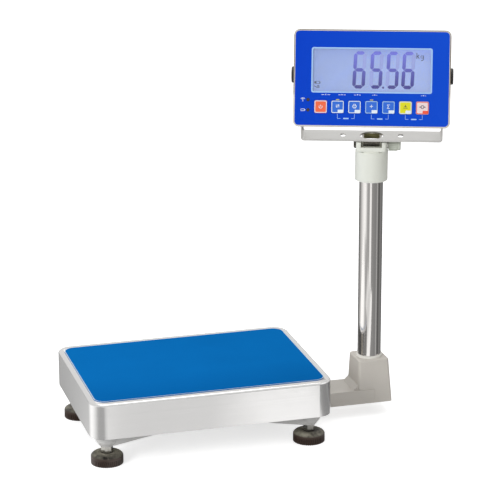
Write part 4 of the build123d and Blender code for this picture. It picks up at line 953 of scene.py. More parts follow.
def coat(finish: Finish, *nodes: str) -> None:
    """Gives CAD nodes their finish.

    Args:
        finish: The finish to give.
        nodes: The CAD nodes' names.
    """
    for node in nodes:
        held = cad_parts[node]
        if not held.material_slots:
            held.data.materials.append(finish.material())
        for slot in held.material_slots:
            slot.material = finish.material()
        LOG.info("node %s in %s", node, finish.name)


def turned(axis: str, degrees: float) -> Matrix:
    """Returns a rotation about one axis."""
    return Matrix.Rotation(math.radians(degrees), 4, axis)


def shifted(x: float, y: float, z: float) -> Matrix:
    """Returns a shift given in millimetres."""
    return Matrix.Translation(Vector((x, y, z)) * MM)


@dataclass(frozen=True)
class Stand:
    """Where the head, the bracket and the indicator's face stand, in millimetres and degrees."""

    column_x: float = 307.0
    pivot_z: float = 463.0
    yaw: float = -20.0
    bracket_tilt: float = 4.0
    side_y: float = -12.6
    side_z: float = 120.0
    lean: float = 19.0
    face_drop: float = 6.1
    face_reach: float = 28.4

    def head(self) -> Matrix:
        """The head's frame: its origin on the floor under the column."""
        return shifted(self.column_x, 0, 0) @ turned("Z", self.yaw)

    def bracket(self) -> Matrix:
        """The bracket's frame: its origin on the pivot bolt."""
        return self.head() @ shifted(0, 0, self.pivot_z) @ turned("X", self.bracket_tilt)

    def face(self) -> Matrix:
        """The indicator's frame: its origin on the middle of the face, Z out of it."""
        side = self.bracket() @ shifted(0, self.side_y, self.side_z)
        return side @ turned("X", 90 - self.lean) @ shifted(0, -self.face_drop, self.face_reach)


STAND = Stand()


# Sub-assemblies

@dataclass
class WeighingPan:
    """The steel pan with its blue mat.

    Attributes:
        mat_length: The mat's length.
        mat_width: Its width.
        mat_corner: Its corner radius.
        mat_top: Height of its top.
        rim: Width of the pale line along the mat's edge.
    """

    mat_length: float = 380.0
    mat_width: float = 264.0
    mat_corner: float = 18.0
    mat_top: float = 113.0
    rim: float = 1.3

    def build(self) -> None:
        """Dresses the pan and the mat, and draws a pale line along the top of the mat's edge."""
        coat(SATIN_STEEL, "pan")
        coat(MAT_BLUE, "pan_mat")
        edge = Drawing()
        outer = rounded_outline(self.mat_length, self.mat_width, self.mat_corner, steps=14)
        inner = rounded_outline(self.mat_length - 2 * self.rim, self.mat_width - 2 * self.rim,
                                self.mat_corner - self.rim, steps=14)
        edge.band(outer, inner, self.mat_top - PRINT_LIFT / 2)
        top = edge.piece("mat_edge", "pan", MAT_EDGE, shifted(0, 0, PRINT_LIFT))


@dataclass
class LevellingFeet:
    """Four ribbed feet on threaded spindles.

    Attributes:
        reach_x: Distance of each foot from the middle along X.
        reach_y: Distance along Y.
    """

    reach_x: float = 168.5
    reach_y: float = 106.0

    def build(self) -> None:
        """Dresses each foot and cuts the thread into its spindle's finish."""
        for name, sx, sy in (("front_left", -1, -1), ("front_right", 1, -1),
                             ("back_left", -1, 1), ("back_right", 1, 1)):
            centre = (sx * self.reach_x * MM, sy * self.reach_y * MM)
            # Painted shade: each pad's grooves are painted dark and its rib crests lighter.
            rubber = RibbedRubber(
                "foot_rubber_" + name, "120d0b", "211a17", rough=0.42, cloud=0.5,
                cloud_scale=60.0, grain_scale=1500.0, grain_depth=0.00004, wear=0.5,
                # Painted sheen: dust at full strength paints the pads' tops olive grey, as the
                # light falls on them.
                wear_colour="4d382f", dust=1.0, dust_and_sheen_colour="c2bdaa", edge=0.0005,
                centre=centre)
            coat(rubber, "foot_pad_" + name)
            spindle = ThreadedSteel(
                "spindle_steel_" + name, "b4b2ac", "7e7c74", rough=0.2, cloud=0.35,
                cloud_scale=90.0, wear=0.3, grain_scale=2500.0, grain_depth=0.000004, dust=0.0,
                edge=0.0005, centre=centre)
            coat(spindle, "foot_screw_" + name)


@dataclass
class UnderFrame:
    """The two castings under the pan, with the load cell between them.

    Attributes:
        cell_side: Half of the load cell's width.
        cell_middle: Height of the load cell's middle.
        hole_pitch: Distance between its two bores.
        hole_radius: Radius of the bores.
        seal_gap: Air between the sealant and the bore.
        seal_depth: Depth of the sealant's faces under the beam's sides.
    """

    cell_side: float = 15.0
    cell_middle: float = 71.5
    hole_pitch: float = 26.0
    hole_radius: float = 9.0
    seal_gap: float = 0.4
    seal_depth: float = 3.0

    def build(self) -> None:
        """Dresses the castings and seals the strain gauges in the load cell's bores."""
        coat(FRAME_PAINT, "base_frame", "upper_frame")
        coat(CELL_ALLOY, "load_cell")
        coat(GROUND_STEEL, "load_cell_spacers")
        coat(ZINC, "load_cell_screws", "overload_stops", "overload_nuts", "column_arm_bolts")
        coat(SOFT_RUBBER, "deck_pads")
        self.seal()

    def seal(self) -> None:
        """Fills the middle of each bore with sealant, a little below the beam's sides."""
        sealant, reach = Drawing(), self.cell_side - self.seal_depth
        for side in (-1, 1):
            outline = circle_outline(self.hole_radius - self.seal_gap,
                                     x=side * self.hole_pitch / 2, steps=28)
            sealant.prism(outline, -reach, reach)
        place = shifted(0, 0, self.cell_middle) @ turned("X", 90)
        seal = sealant.piece("gauge_sealant", "base", COLLAR_WHITE, place)


@dataclass
class Column:
    """The column's foot, its collar and the polished tube."""

    def build(self) -> None:
        """Dresses the column."""
        coat(ARM_PAINT, "column_arm")
        coat(COLLAR_WHITE, "column_collar")
        coat(TUBE_STEEL, "column_tube")
        coat(BLACK_OXIDE, "tube_clamp_screws")
        coat(SOFT_RUBBER, "cable_grommet")


@dataclass
class PoleHead:
    """The swivelling head with its tilt bolt and thumb knob."""

    def build(self) -> None:
        """Dresses the head."""
        coat(WHITE_MOULDING, "pole_head")
        coat(BLACK_OXIDE, "head_clamp_screw")
        # The pivot bolt's dark finish is painted shade for the clevis window.
        coat(SHADED_PIVOT_STEEL, "pivot_bolt")
        coat(ZINC, "pivot_washer")
        coat(KNOB_GREY, "tilt_knob")
        coat(SPRING_BRASS, "tilt_knob_insert")


@dataclass
class Bracket:
    """The bent steel bracket with its welded lugs.

    Attributes:
        rise: Height of the plate's top over the pivot.
        sheet: Thickness of the plate.
        lug_outer: Distance of a lug's outer face from the middle.
        lug_sheet: Thickness of a lug.
        lug_half: Half of a lug's depth at the plate.
        bead: Radius of the weld beads.
        bead_start: Distance of the beads' start from the lug's edge.
        bead_end: Where the beads end, short of the cross plate.
        bead_steps: Steps along a bead.
        ripple: Heights of the coarse and the fine ripple, as shares of the radius.
        ripple_turn: Radians of each ripple in one step.
    """

    rise: float = 14.5
    sheet: float = 2.5
    lug_outer: float = 16.5
    lug_sheet: float = 3.0
    lug_half: float = 19.0
    bead: float = 0.9
    bead_start: float = 1.5
    bead_end: float = 14.4
    bead_steps: int = 48
    ripple: Flat = (0.12, 0.06)
    ripple_turn: Flat = (2.1, 0.7)

    def build(self) -> None:
        """Dresses the bracket and lays the weld beads along its lugs."""
        coat(BRACKET_STEEL, "indicator_bracket")
        coat(OLIVE_ZINC, "lug_bridge")
        coat(FIBRE, "lug_washers")
        coat(SOFT_RUBBER, "side_washers")
        self.weld()

    def weld(self) -> None:
        """Lays one rippled bead along the inner face of each lug."""
        beads = Drawing()
        inner, under = self.lug_outer - self.lug_sheet, self.rise - self.sheet
        start = -self.lug_half + self.bead_start
        (coarse, fine), (coarse_turn, fine_turn) = self.ripple, self.ripple_turn
        for side in (-1, 1):
            path, radii = [], []
            for k in range(self.bead_steps + 1):
                y = start + (self.bead_end - start) * k / self.bead_steps
                path.append((side * inner, y, under))
                ripple = coarse * math.sin(coarse_turn * k) + fine * math.sin(fine_turn * k + side)
                radii.append(self.bead * (1.0 + ripple))
            beads.bead(path, radii)
        weld = beads.piece("lug_weld_beads", "bracket", WELD, STAND.bracket(), smooth=True)


class Segment(Enum):
    """The seven strokes of a digit, as corner points in a cell one wide and two high."""

    TOP = ((0.0, 2.0), (1.0, 2.0))
    UPPER_RIGHT = ((1.0, 2.0), (1.0, 1.0))
    LOWER_RIGHT = ((1.0, 1.0), (1.0, 0.0))
    BOTTOM = ((0.0, 0.0), (1.0, 0.0))
    LOWER_LEFT = ((0.0, 1.0), (0.0, 0.0))
    UPPER_LEFT = ((0.0, 2.0), (0.0, 1.0))
    MIDDLE = ((0.0, 1.0), (1.0, 1.0))


@dataclass
class Display:
    """The liquid crystal display behind its clear pane, in the face's frame.

    Attributes:
        depth: Depth of the display's front under the face.
        reading: The digits shown, left to right.
        lefts: Left edge of each digit.
        bottom: Lower edge of the digits.
        width: Width of a digit between the middles of its strokes.
        height: Height of a digit between the middles of its strokes.
        stroke: Width of a stroke.
        slant: Sideways lean of a digit over its height.
        gap: Air between the ends of two strokes, halved.
        dot: Radius of the point, its place and its height over the digits' lower edge.
        pen: Width of the lines of the signs.
    """

    depth: float = 2.47
    reading: str = "6556"
    lefts: tuple[float, ...] = (-31.7, -4.6, 21.4, 46.4)
    bottom: float = -16.0
    width: float = 14.6
    height: float = 54.0
    stroke: float = 5.6
    slant: float = 2.4
    gap: float = 0.35
    dot: Point = (1.7, 18.0, 1.9)
    pen: float = 1.1

    def strokes_of(self, digit: str) -> list[Segment]:
        """Lists the strokes that a digit lights."""
        unlit = {"6": [Segment.UPPER_RIGHT], "5": [Segment.UPPER_RIGHT, Segment.LOWER_LEFT]}
        return [stroke for stroke in Segment if stroke not in unlit[digit]]

    def bar(self, left: float, stroke: Segment) -> list[Flat]:
        """Returns the six-sided outline of one stroke.

        Args:
            left: The digit's left edge.
            stroke: Which of its strokes.

        Returns:
            The outline's points.
        """
        half = self.stroke / 2
        (ax, ay), (bx, by) = stroke.value
        sx, sy = self.width, self.height / 2
        start = Vector((left + half + ax * sx, self.bottom + half + ay * sy))
        end = Vector((left + half + bx * sx, self.bottom + half + by * sy))
        along = (end - start).normalized()
        side = Vector((-along.y, along.x))
        start, end = start + along * self.gap, end - along * self.gap
        corners = [start, start + (along + side) * half, end - (along - side) * half, end,
                   end - (along + side) * half, start + (along - side) * half]
        lean = self.slant / self.height
        return [(p.x + (p.y - self.bottom) * lean, p.y) for p in corners]

    def build(self) -> None:
        """Dresses the display's nodes and draws what it shows."""
        coat(PANE, "display_window")
        coat(LCD_FIELD, "lcd_panel")
        coat(COLLAR_WHITE, "lcd_holder")
        lit, idle, signs = Drawing(), Drawing(), Drawing()
        for digit, left in zip(self.reading, self.lefts):
            for stroke in Segment:
                target = lit if stroke in self.strokes_of(digit) else idle
                target.patch(self.bar(left, stroke), -self.depth)
        radius, x, rise = self.dot
        lit.patch(circle_outline(radius, x, self.bottom + rise, 20), -self.depth)
        self.unit_sign(signs)
        self.status_signs(signs)
        face = STAND.face()
        lit.piece("lit_segments", "indicator", SEGMENT, face)
        idle.piece("idle_segments", "indicator", SEGMENT_OFF, face)
        signs.piece("display_signs", "indicator", INK_DARK, face)

    def unit_sign(self, drawing: Drawing) -> None:
        """Draws the unit of mass beside the last digit.

        Args:
            drawing: The drawing to add to.
        """
        z, pen, ring = -self.depth, self.pen, (79.2, 35.6)
        drawing.line((71.0, 41.8), (71.0, 32.6), pen, z)
        drawing.line((71.2, 35.6), (74.6, 38.8), pen, z)
        drawing.line((72.4, 36.6), (74.8, 32.6), pen, z)
        drawing.band(circle_outline(2.3, *ring, 16), circle_outline(1.6, *ring, 16), z)
        drawing.path([(81.4, 38.0), (81.4, 31.4), (80.3, 29.9), (77.8, 29.8)], pen, z)

    def status_signs(self, drawing: Drawing) -> None:
        """Draws the small battery and rest signs at the display's lower left.

        Args:
            drawing: The drawing to add to.
        """
        z, battery = -self.depth, (-87.6, -7.0)
        drawing.band(rounded_outline(8.6, 4.2, 0.5, *battery, 2),
                     rounded_outline(7.4, 3.0, 0.3, *battery, 2), z)
        drawing.patch(rounded_outline(1.0, 1.8, 0.2, -82.8, -7.0, 2), z)
        drawing.patch(rounded_outline(2.8, 2.2, 0.2, -90.0, -7.0, 2), z)
        drawing.path([(-92.0, -12.4), (-88.6, -14.6), (-83.4, -14.6)], self.pen, z)
        drawing.line((-88.0, -12.6), (-84.0, -12.6), self.pen, z)


@dataclass
class FilmPrint:
    """What is printed on the blue film, in the face's frame.

    Attributes:
        rise: Height of the print over the film.
        window: Length and height of the window's outline.
        window_at: Its middle.
        pen: Width of the window's outline.
        key_pitch: Distance between keys.
        key_size: Size of a key.
        key_y: Height of the keys' middles.
        lamp_x: Middle of the lamps.
        lamp_ys: Heights of the lamps.
        mark: Length and height of the marks over two keys.
        mark_gap: Distance of a mark's middle from its key.
        pair_gap: Distance of the pairing brackets from the keys.
        pair_drop: Height of the brackets.
        pair_half: Half of the space in a bracket's middle.
        pair_pen: Width of the brackets' lines.
        pair_bar: Length and height of the bar in that space.
        pointer_drop: Distance of the pointers from the window's outline.
        pointer_plan: Place of each pointer, and the length of its two dashes together.
    """

    rise: float = 0.03
    window: Flat = (193.0, 72.5)
    window_at: Flat = (-0.4, 13.0)
    pen: float = 2.3
    key_pitch: float = 27.1
    key_size: float = 20.1
    key_y: float = -45.8
    lamp_x: float = -101.6
    lamp_ys: Flat = (-34.8, -51.2)
    mark: Flat = (5.4, 1.5)
    mark_gap: float = 1.6
    pair_gap: float = 1.4
    pair_drop: float = 7.0
    pair_half: float = 8.5
    pair_pen: float = 0.6
    pair_bar: Flat = (9.0, 2.0)
    pointer_drop: float = 3.2
    pointer_plan: tuple[Flat, ...] = ((-73.3, 9.0), (-47.4, 7.0), (-22.7, 6.0), (5.0, 3.0),
                                      (82.7, 3.4))

    def key_x(self, number: int) -> float:
        """Returns the middle of a key, counted from one."""
        return (number - 4) * self.key_pitch

    def build(self) -> None:
        """Dresses the film and draws its prints."""
        coat(FILM_BLUE, "front_overlay")
        sky, white, gold = Drawing(), Drawing(), Drawing()
        self.window_line(sky)
        self.pair_lines(sky)
        self.lamp_signs(white)
        self.pointers(white)
        for number in (2, 4):
            above = self.key_y + self.key_size / 2 + self.mark_gap
            gold.patch(rounded_outline(*self.mark, 0.6, self.key_x(number), above, 3), self.rise)
        face = STAND.face()
        for drawing, name, finish in ((sky, "film_lines", INK_SKY),
                                      (white, "film_signs", INK_WHITE),
                                      (gold, "film_marks", INK_GOLD)):
            drawing.piece(name, "indicator", finish, face)

    def window_line(self, drawing: Drawing) -> None:
        """Draws the pale line round the window.

        Args:
            drawing: The drawing to add to.
        """
        (length, height), (x, y) = self.window, self.window_at
        inset = 2 * self.pen
        drawing.band(rounded_outline(length, height, 3.4, x, y),
                     rounded_outline(length - inset, height - inset, 2.0, x, y), self.rise)

    def pair_lines(self, drawing: Drawing) -> None:
        """Draws the brackets that pair the keys, with a bar in the middle of each.

        Args:
            drawing: The drawing to add to.
        """
        top = self.key_y - self.key_size / 2 - self.pair_gap
        low = top - self.pair_drop
        for first in (2, 4, 6):
            middle = (self.key_x(first) + self.key_x(first + 1)) / 2
            for key, side in ((first, -1), (first + 1, 1)):
                x, end = self.key_x(key), middle + side * self.pair_half
                drawing.path([(x, top), (x, low), (end, low)], self.pair_pen, self.rise)
            drawing.patch(rounded_outline(*self.pair_bar, 0.9, middle, low, 4), self.rise)

    def lamp_signs(self, drawing: Drawing) -> None:
        """Draws the aerial and the battery sign beside the lamps.

        Args:
            drawing: The drawing to add to.
        """
        x, y, z = self.lamp_x - 8.4, self.lamp_ys[0], self.rise
        drawing.line((x, y + 1.4), (x, y - 3.0), 0.8, z)
        for radius in (2.2, 3.9):
            arc = [(x + radius * math.cos(a), y - 0.2 + radius * math.sin(a) * 0.8)
                   for a in (math.radians(30 + 12 * k) for k in range(11))]
            drawing.path(arc, 0.7, z)
        y = self.lamp_ys[1]
        drawing.band(rounded_outline(6.2, 3.6, 0.5, x, y, 2),
                     rounded_outline(4.8, 2.2, 0.3, x, y, 2), z)
        drawing.patch(rounded_outline(1.0, 1.6, 0.2, x + 3.7, y, 2), z)

    def pointers(self, drawing: Drawing) -> None:
        """Draws the small pointers under the window.

        Args:
            drawing: The drawing to add to.
        """
        y = self.window_at[1] - self.window[1] / 2 - self.pointer_drop
        for x, width in self.pointer_plan:
            drawing.patch([(x - 1.4, y + 0.9), (x, y - 0.9), (x + 1.4, y + 0.9)], self.rise)
            for side in (-1, 1):
                drawing.patch(rounded_outline(width / 2, 0.7, 0.3,
                                              x + side * (2.4 + width / 4), y, 3), self.rise)


class Glyph(Enum):
    """The signs on the keys, each a set of strokes in a cell from minus one to one."""

    POWER = (((-0.45, 0.35), (-0.62, 0.0), (-0.45, -0.42), (0.0, -0.6), (0.45, -0.42),
              (0.62, 0.0), (0.45, 0.35)), ((0.0, 0.72), (0.0, 0.05)))
    STEP = (((-0.7, 0.3), (0.5, 0.3)), ((0.2, 0.6), (0.6, 0.3), (0.2, 0.0)),
            ((0.7, -0.3), (-0.5, -0.3)), ((-0.2, 0.0), (-0.6, -0.3), (-0.2, -0.6)))
    SHEET = (((-0.4, 0.2), (-0.4, 0.7), (0.4, 0.7), (0.4, 0.2)),
             ((-0.7, 0.2), (0.7, 0.2), (0.7, -0.35), (-0.7, -0.35), (-0.7, 0.2)),
             ((-0.4, -0.35), (-0.4, -0.7), (0.4, -0.7), (0.4, -0.35)))
    ADD = (((-0.6, 0.0), (0.6, 0.0)), ((0.0, 0.6), (0.0, -0.6)))
    SUM = (((0.5, 0.65), (-0.5, 0.65), (0.05, 0.0), (-0.5, -0.65), (0.5, -0.65)),)
    PLATE = (((-0.75, -0.45), (0.75, -0.45)), ((-0.45, 0.1), (0.45, 0.1)),
             ((0.0, 0.75), (0.0, -0.1)))
    ZERO = (((-0.28, 0.45), (0.28, 0.45), (0.28, -0.45), (-0.28, -0.45), (-0.28, 0.45)),
            ((-1.0, 0.0), (-0.45, 0.0)), ((-0.66, 0.2), (-0.45, 0.0), (-0.66, -0.2)),
            ((1.0, 0.0), (0.45, 0.0)), ((0.66, 0.2), (0.45, 0.0), (0.66, -0.2)))


@dataclass(frozen=True)
class KeyStyle:
    """The look of one key.

    Attributes:
        finish: The key's finish.
        outline: The ink of its outline.
        glyph: Its sign.
        ink: The ink of its sign.
        tag: The ink of its corner tag, if it has one.
        slot: A name for the slot of its prints; not used.
    """

    finish: Finish
    outline: Finish
    glyph: Glyph
    ink: Finish
    tag: Finish | None = None
    slot: str = "key_blue"


@dataclass
class KeyRow:
    """The seven keys with what is printed on them.

    Attributes:
        print_plan: Sizes and places shared with the film's print.
        proud: Height of the keys over the film.
        line: Width of a key's outline.
        margin: Distance of the outline from the key's edges, both sides together.
        reach: Half of the size of a sign.
        wide_reach: The same for the zero sign, which has arrows.
        pen: Width of a sign's lines.
        sign_lift: How far a sign stands up on a key with a tag.
        tag: Length and height of a tag.
        tag_at: The tag's middle from the key's.
        styles: The keys' looks, left to right.
    """

    print_plan: FilmPrint = field(default_factory=FilmPrint)
    proud: float = 0.4
    line: float = 1.1
    margin: float = 0.7
    reach: float = 4.4
    wide_reach: float = 5.4
    pen: float = 0.85
    sign_lift: float = 1.4
    tag: Flat = (9.2, 5.0)
    tag_at: Flat = (4.9, -6.9)
    styles: tuple[KeyStyle, ...] = (
        KeyStyle(KEY_ORANGE, INK_WHITE, Glyph.POWER, INK_WHITE, None, "key_orange"),
        KeyStyle(KEY_BLUE, INK_WHITE, Glyph.STEP, INK_WHITE, INK_WHITE),
        KeyStyle(KEY_BLUE, INK_WHITE, Glyph.SHEET, INK_WHITE, INK_WHITE),
        KeyStyle(KEY_BLUE, INK_SKY, Glyph.ADD, INK_WHITE, INK_WHITE),
        KeyStyle(KEY_BLUE, INK_SKY, Glyph.SUM, INK_WHITE, INK_WHITE),
        KeyStyle(KEY_YELLOW, INK_WHITE, Glyph.PLATE, INK_DARK, INK_WHITE, "key_yellow"),
        KeyStyle(KEY_PALE, INK_ORANGE, Glyph.ZERO, INK_DARK, INK_ORANGE, "key_pale"))

    def build(self) -> None:
        """Dresses every key and prints its outline, sign and tag."""
        for number, style in enumerate(self.styles, start=1):
            self.one_key(number, style)

    def one_key(self, number: int, style: KeyStyle) -> None:
        """Dresses and prints one key.

        Args:
            number: The key's place in the row, from one.
            style: Its look.
        """
        node = "key_" + str(number)
        coat(style.finish, node)
        face, z = STAND.face(), self.proud + PRINT_LIFT
        x, y = self.print_plan.key_x(number), self.print_plan.key_y
        size = self.print_plan.key_size - self.margin
        inner = size - 2 * self.line
        outline, sign, tag = Drawing(), Drawing(), Drawing()
        outline.band(rounded_outline(size, size, 2.2, x, y),
                     rounded_outline(inner, inner, 1.4, x, y), z)
        outline.piece(node + "_outline", node, style.outline, face)
        middle = y + (self.sign_lift if style.tag else 0.0)
        reach = self.wide_reach if style.glyph is Glyph.ZERO else self.reach
        for stroke in style.glyph.value:
            sign.path([(x + px * reach, middle + py * reach) for px, py in stroke], self.pen, z)
        sign.piece(node + "_sign", node, style.ink, face)
        if style.tag:
            right, up = self.tag_at
            tag.patch(rounded_outline(*self.tag, 0.9, x + right, y + up, 4), z + PRINT_LIFT / 2)
            tag.piece(node + "_tag", node, style.tag, face)


@dataclass
class IndicatorCase:
    """The indicator's case with what is fixed to it.

    Attributes:
        screw_x: Distance of the outer case screws from the middle.
        screw_y: Their distance up and down.
        screw_head: Depth of the heads' outer faces behind the face.
        cross: Half of the length of a recess's arm, and its width.
        socket_at: Place of the power socket.
        back: Depth of the case's back.
        face_size: Length and height of the case's face.
        corner: Its corner radius.
        rounding: Radius of the face's rounded edge.
        rim_arc: Where the dark line lies on the rounding, in degrees from the face.
        rim_lift: Height of the line over the rounding.
        pin: Radius of the socket's pin, and where it starts and ends from the case's back.
    """

    screw_x: float = 100.0
    screw_y: float = 64.0
    screw_head: float = -28.8
    cross: Flat = (1.9, 0.8)
    socket_at: Flat = (88.0, -42.0)
    back: float = -57.8
    face_size: Flat = (251.0, 156.0)
    corner: float = 9.0
    rounding: float = 2.0
    # rim_arc: Where the band of painted shade lies on the rounding, in degrees from the face.
    rim_arc: tuple[float, ...] = (12.0, 29.0, 46.0, 63.0)
    rim_lift: float = 0.03
    pin: Point = (0.9, 0.5, 6.4)

    def build(self) -> None:
        """Dresses the case, its fittings and the boards in it."""
        coat(CASE_CREAM, "front_case", "rear_case")
        coat(BLACK_MOULDING, "signal_gland", "power_socket", "left_side_knob", "right_side_knob")
        coat(ZINC, "case_screws", "left_side_knob_screw", "right_side_knob_screw")
        coat(SOFT_RUBBER, "case_gasket")
        coat(SPRING_BRASS, "side_inserts")
        coat(BOARD, "key_board", "main_board")
        coat(LAMP_LENS, "status_lamps")
        coat(BATTERY_CASE, "battery")
        self.rim_painted_shade()
        self.shaded_screw_crosses()
        self.socket_pin()

    def rim_painted_shade(self) -> None:
        """Lays a band of painted shade on the case's rounded edge round the face, pale on the
        lower part and dark brown above.
        """
        (width, height), rings = self.face_size, []
        radius = self.rounding + self.rim_lift
        for degrees in self.rim_arc:
            angle = math.radians(degrees)
            inset = self.rounding - radius * math.sin(angle)
            ring = rounded_outline(width - 2 * inset, height - 2 * inset, self.corner - inset)
            rings.append((ring, radius * math.cos(angle) - self.rounding))
        line = Drawing()
        for (inner, high), (outer, low) in zip(rings, rings[1:]):
            line.slope(outer, low, inner, high)
        rim = line.piece("case_rim_painted_shade", "indicator", CASE_RIM_PAINTED_SHADE, STAND.face(), smooth=True)

    def shaded_screw_crosses(self) -> None:
        """Paints the cross recess in each case screw's head as a flat dark cross: painted shade
        for the hollow.
        """
        crosses, (arm, width) = Drawing(), self.cross
        places = [(sx * self.screw_x, sy * self.screw_y) for sx in (-1, 0, 1) for sy in (-1, 1)]
        for x, y in places:
            for first, second in (((x - arm, y), (x + arm, y)), ((x, y - arm), (x, y + arm))):
                crosses.line(first, second, width, self.screw_head - PRINT_LIFT)
        # Painted shade: the recesses are drawn as flat dark crosses on the plated heads.
        cut = crosses.piece("shaded_screw_crosses", "indicator", BLACK_OXIDE, STAND.face())

    def socket_pin(self) -> None:
        """Stands the contact pin in the power socket."""
        pin, (radius, low, high) = Drawing(), self.pin
        pin.prism(circle_outline(radius, *self.socket_at, 16), self.back + low, self.back + high)
        contact = pin.piece("socket_pin", "indicator", ZINC, STAND.face())


# Studio

def paper_sheet(name: str, material: str, half: Flat, lift: float
                ) -> tuple[bpy.types.Object, Graph, Node]:
    """Lays one level sheet, centred on the part's origin.

    Args:
        name: The sheet's name.
        material: Its material's name.
        half: Half of its length and width, in metres.
        lift: Its height.

    Returns:
        The sheet, its material's graph and its shader.
    """
    x, y = half
    corners = [(-x, -y, lift), (x, -y, lift), (x, y, lift), (-x, y, lift)]
    mesh = bpy.data.meshes.new(name)
    mesh.from_pydata(corners, [], [range(len(corners))])
    paper = bpy.data.materials.new(material)
    paper.use_nodes = True
    mesh.materials.append(paper)
    graph, shader = Graph(paper.node_tree), paper.node_tree.nodes["Principled BSDF"]
    graph.preset(shader, Specular_IOR_Level=0.0)
    return linked(name, mesh), graph, shader


@dataclass(frozen=True)
class Lamp:
    """One soft square lamp.

    Attributes:
        name: Its name.
        spot: Where it hangs, in metres.
        size: Its side, in metres.
        power: Its power, in watts.
        mirrored: Whether polished metal shows it.
    """

    name: str
    spot: Point
    size: float
    power: float
    mirrored: bool = True

    def hang(self, target: Point) -> None:
        """Hangs the lamp.

        Args:
            target: Where it shines, in metres.
        """
        data = bpy.data.lights.new(self.name, "AREA")
        data.shape, data.size, data.energy = "SQUARE", self.size, self.power
        made = linked(self.name, data)
        aim = Vector(target) - Vector(self.spot)
        made.rotation_euler = aim.to_track_quat("-Z", "Y").to_euler()
        made.location = self.spot
        made.visible_glossy = self.mirrored


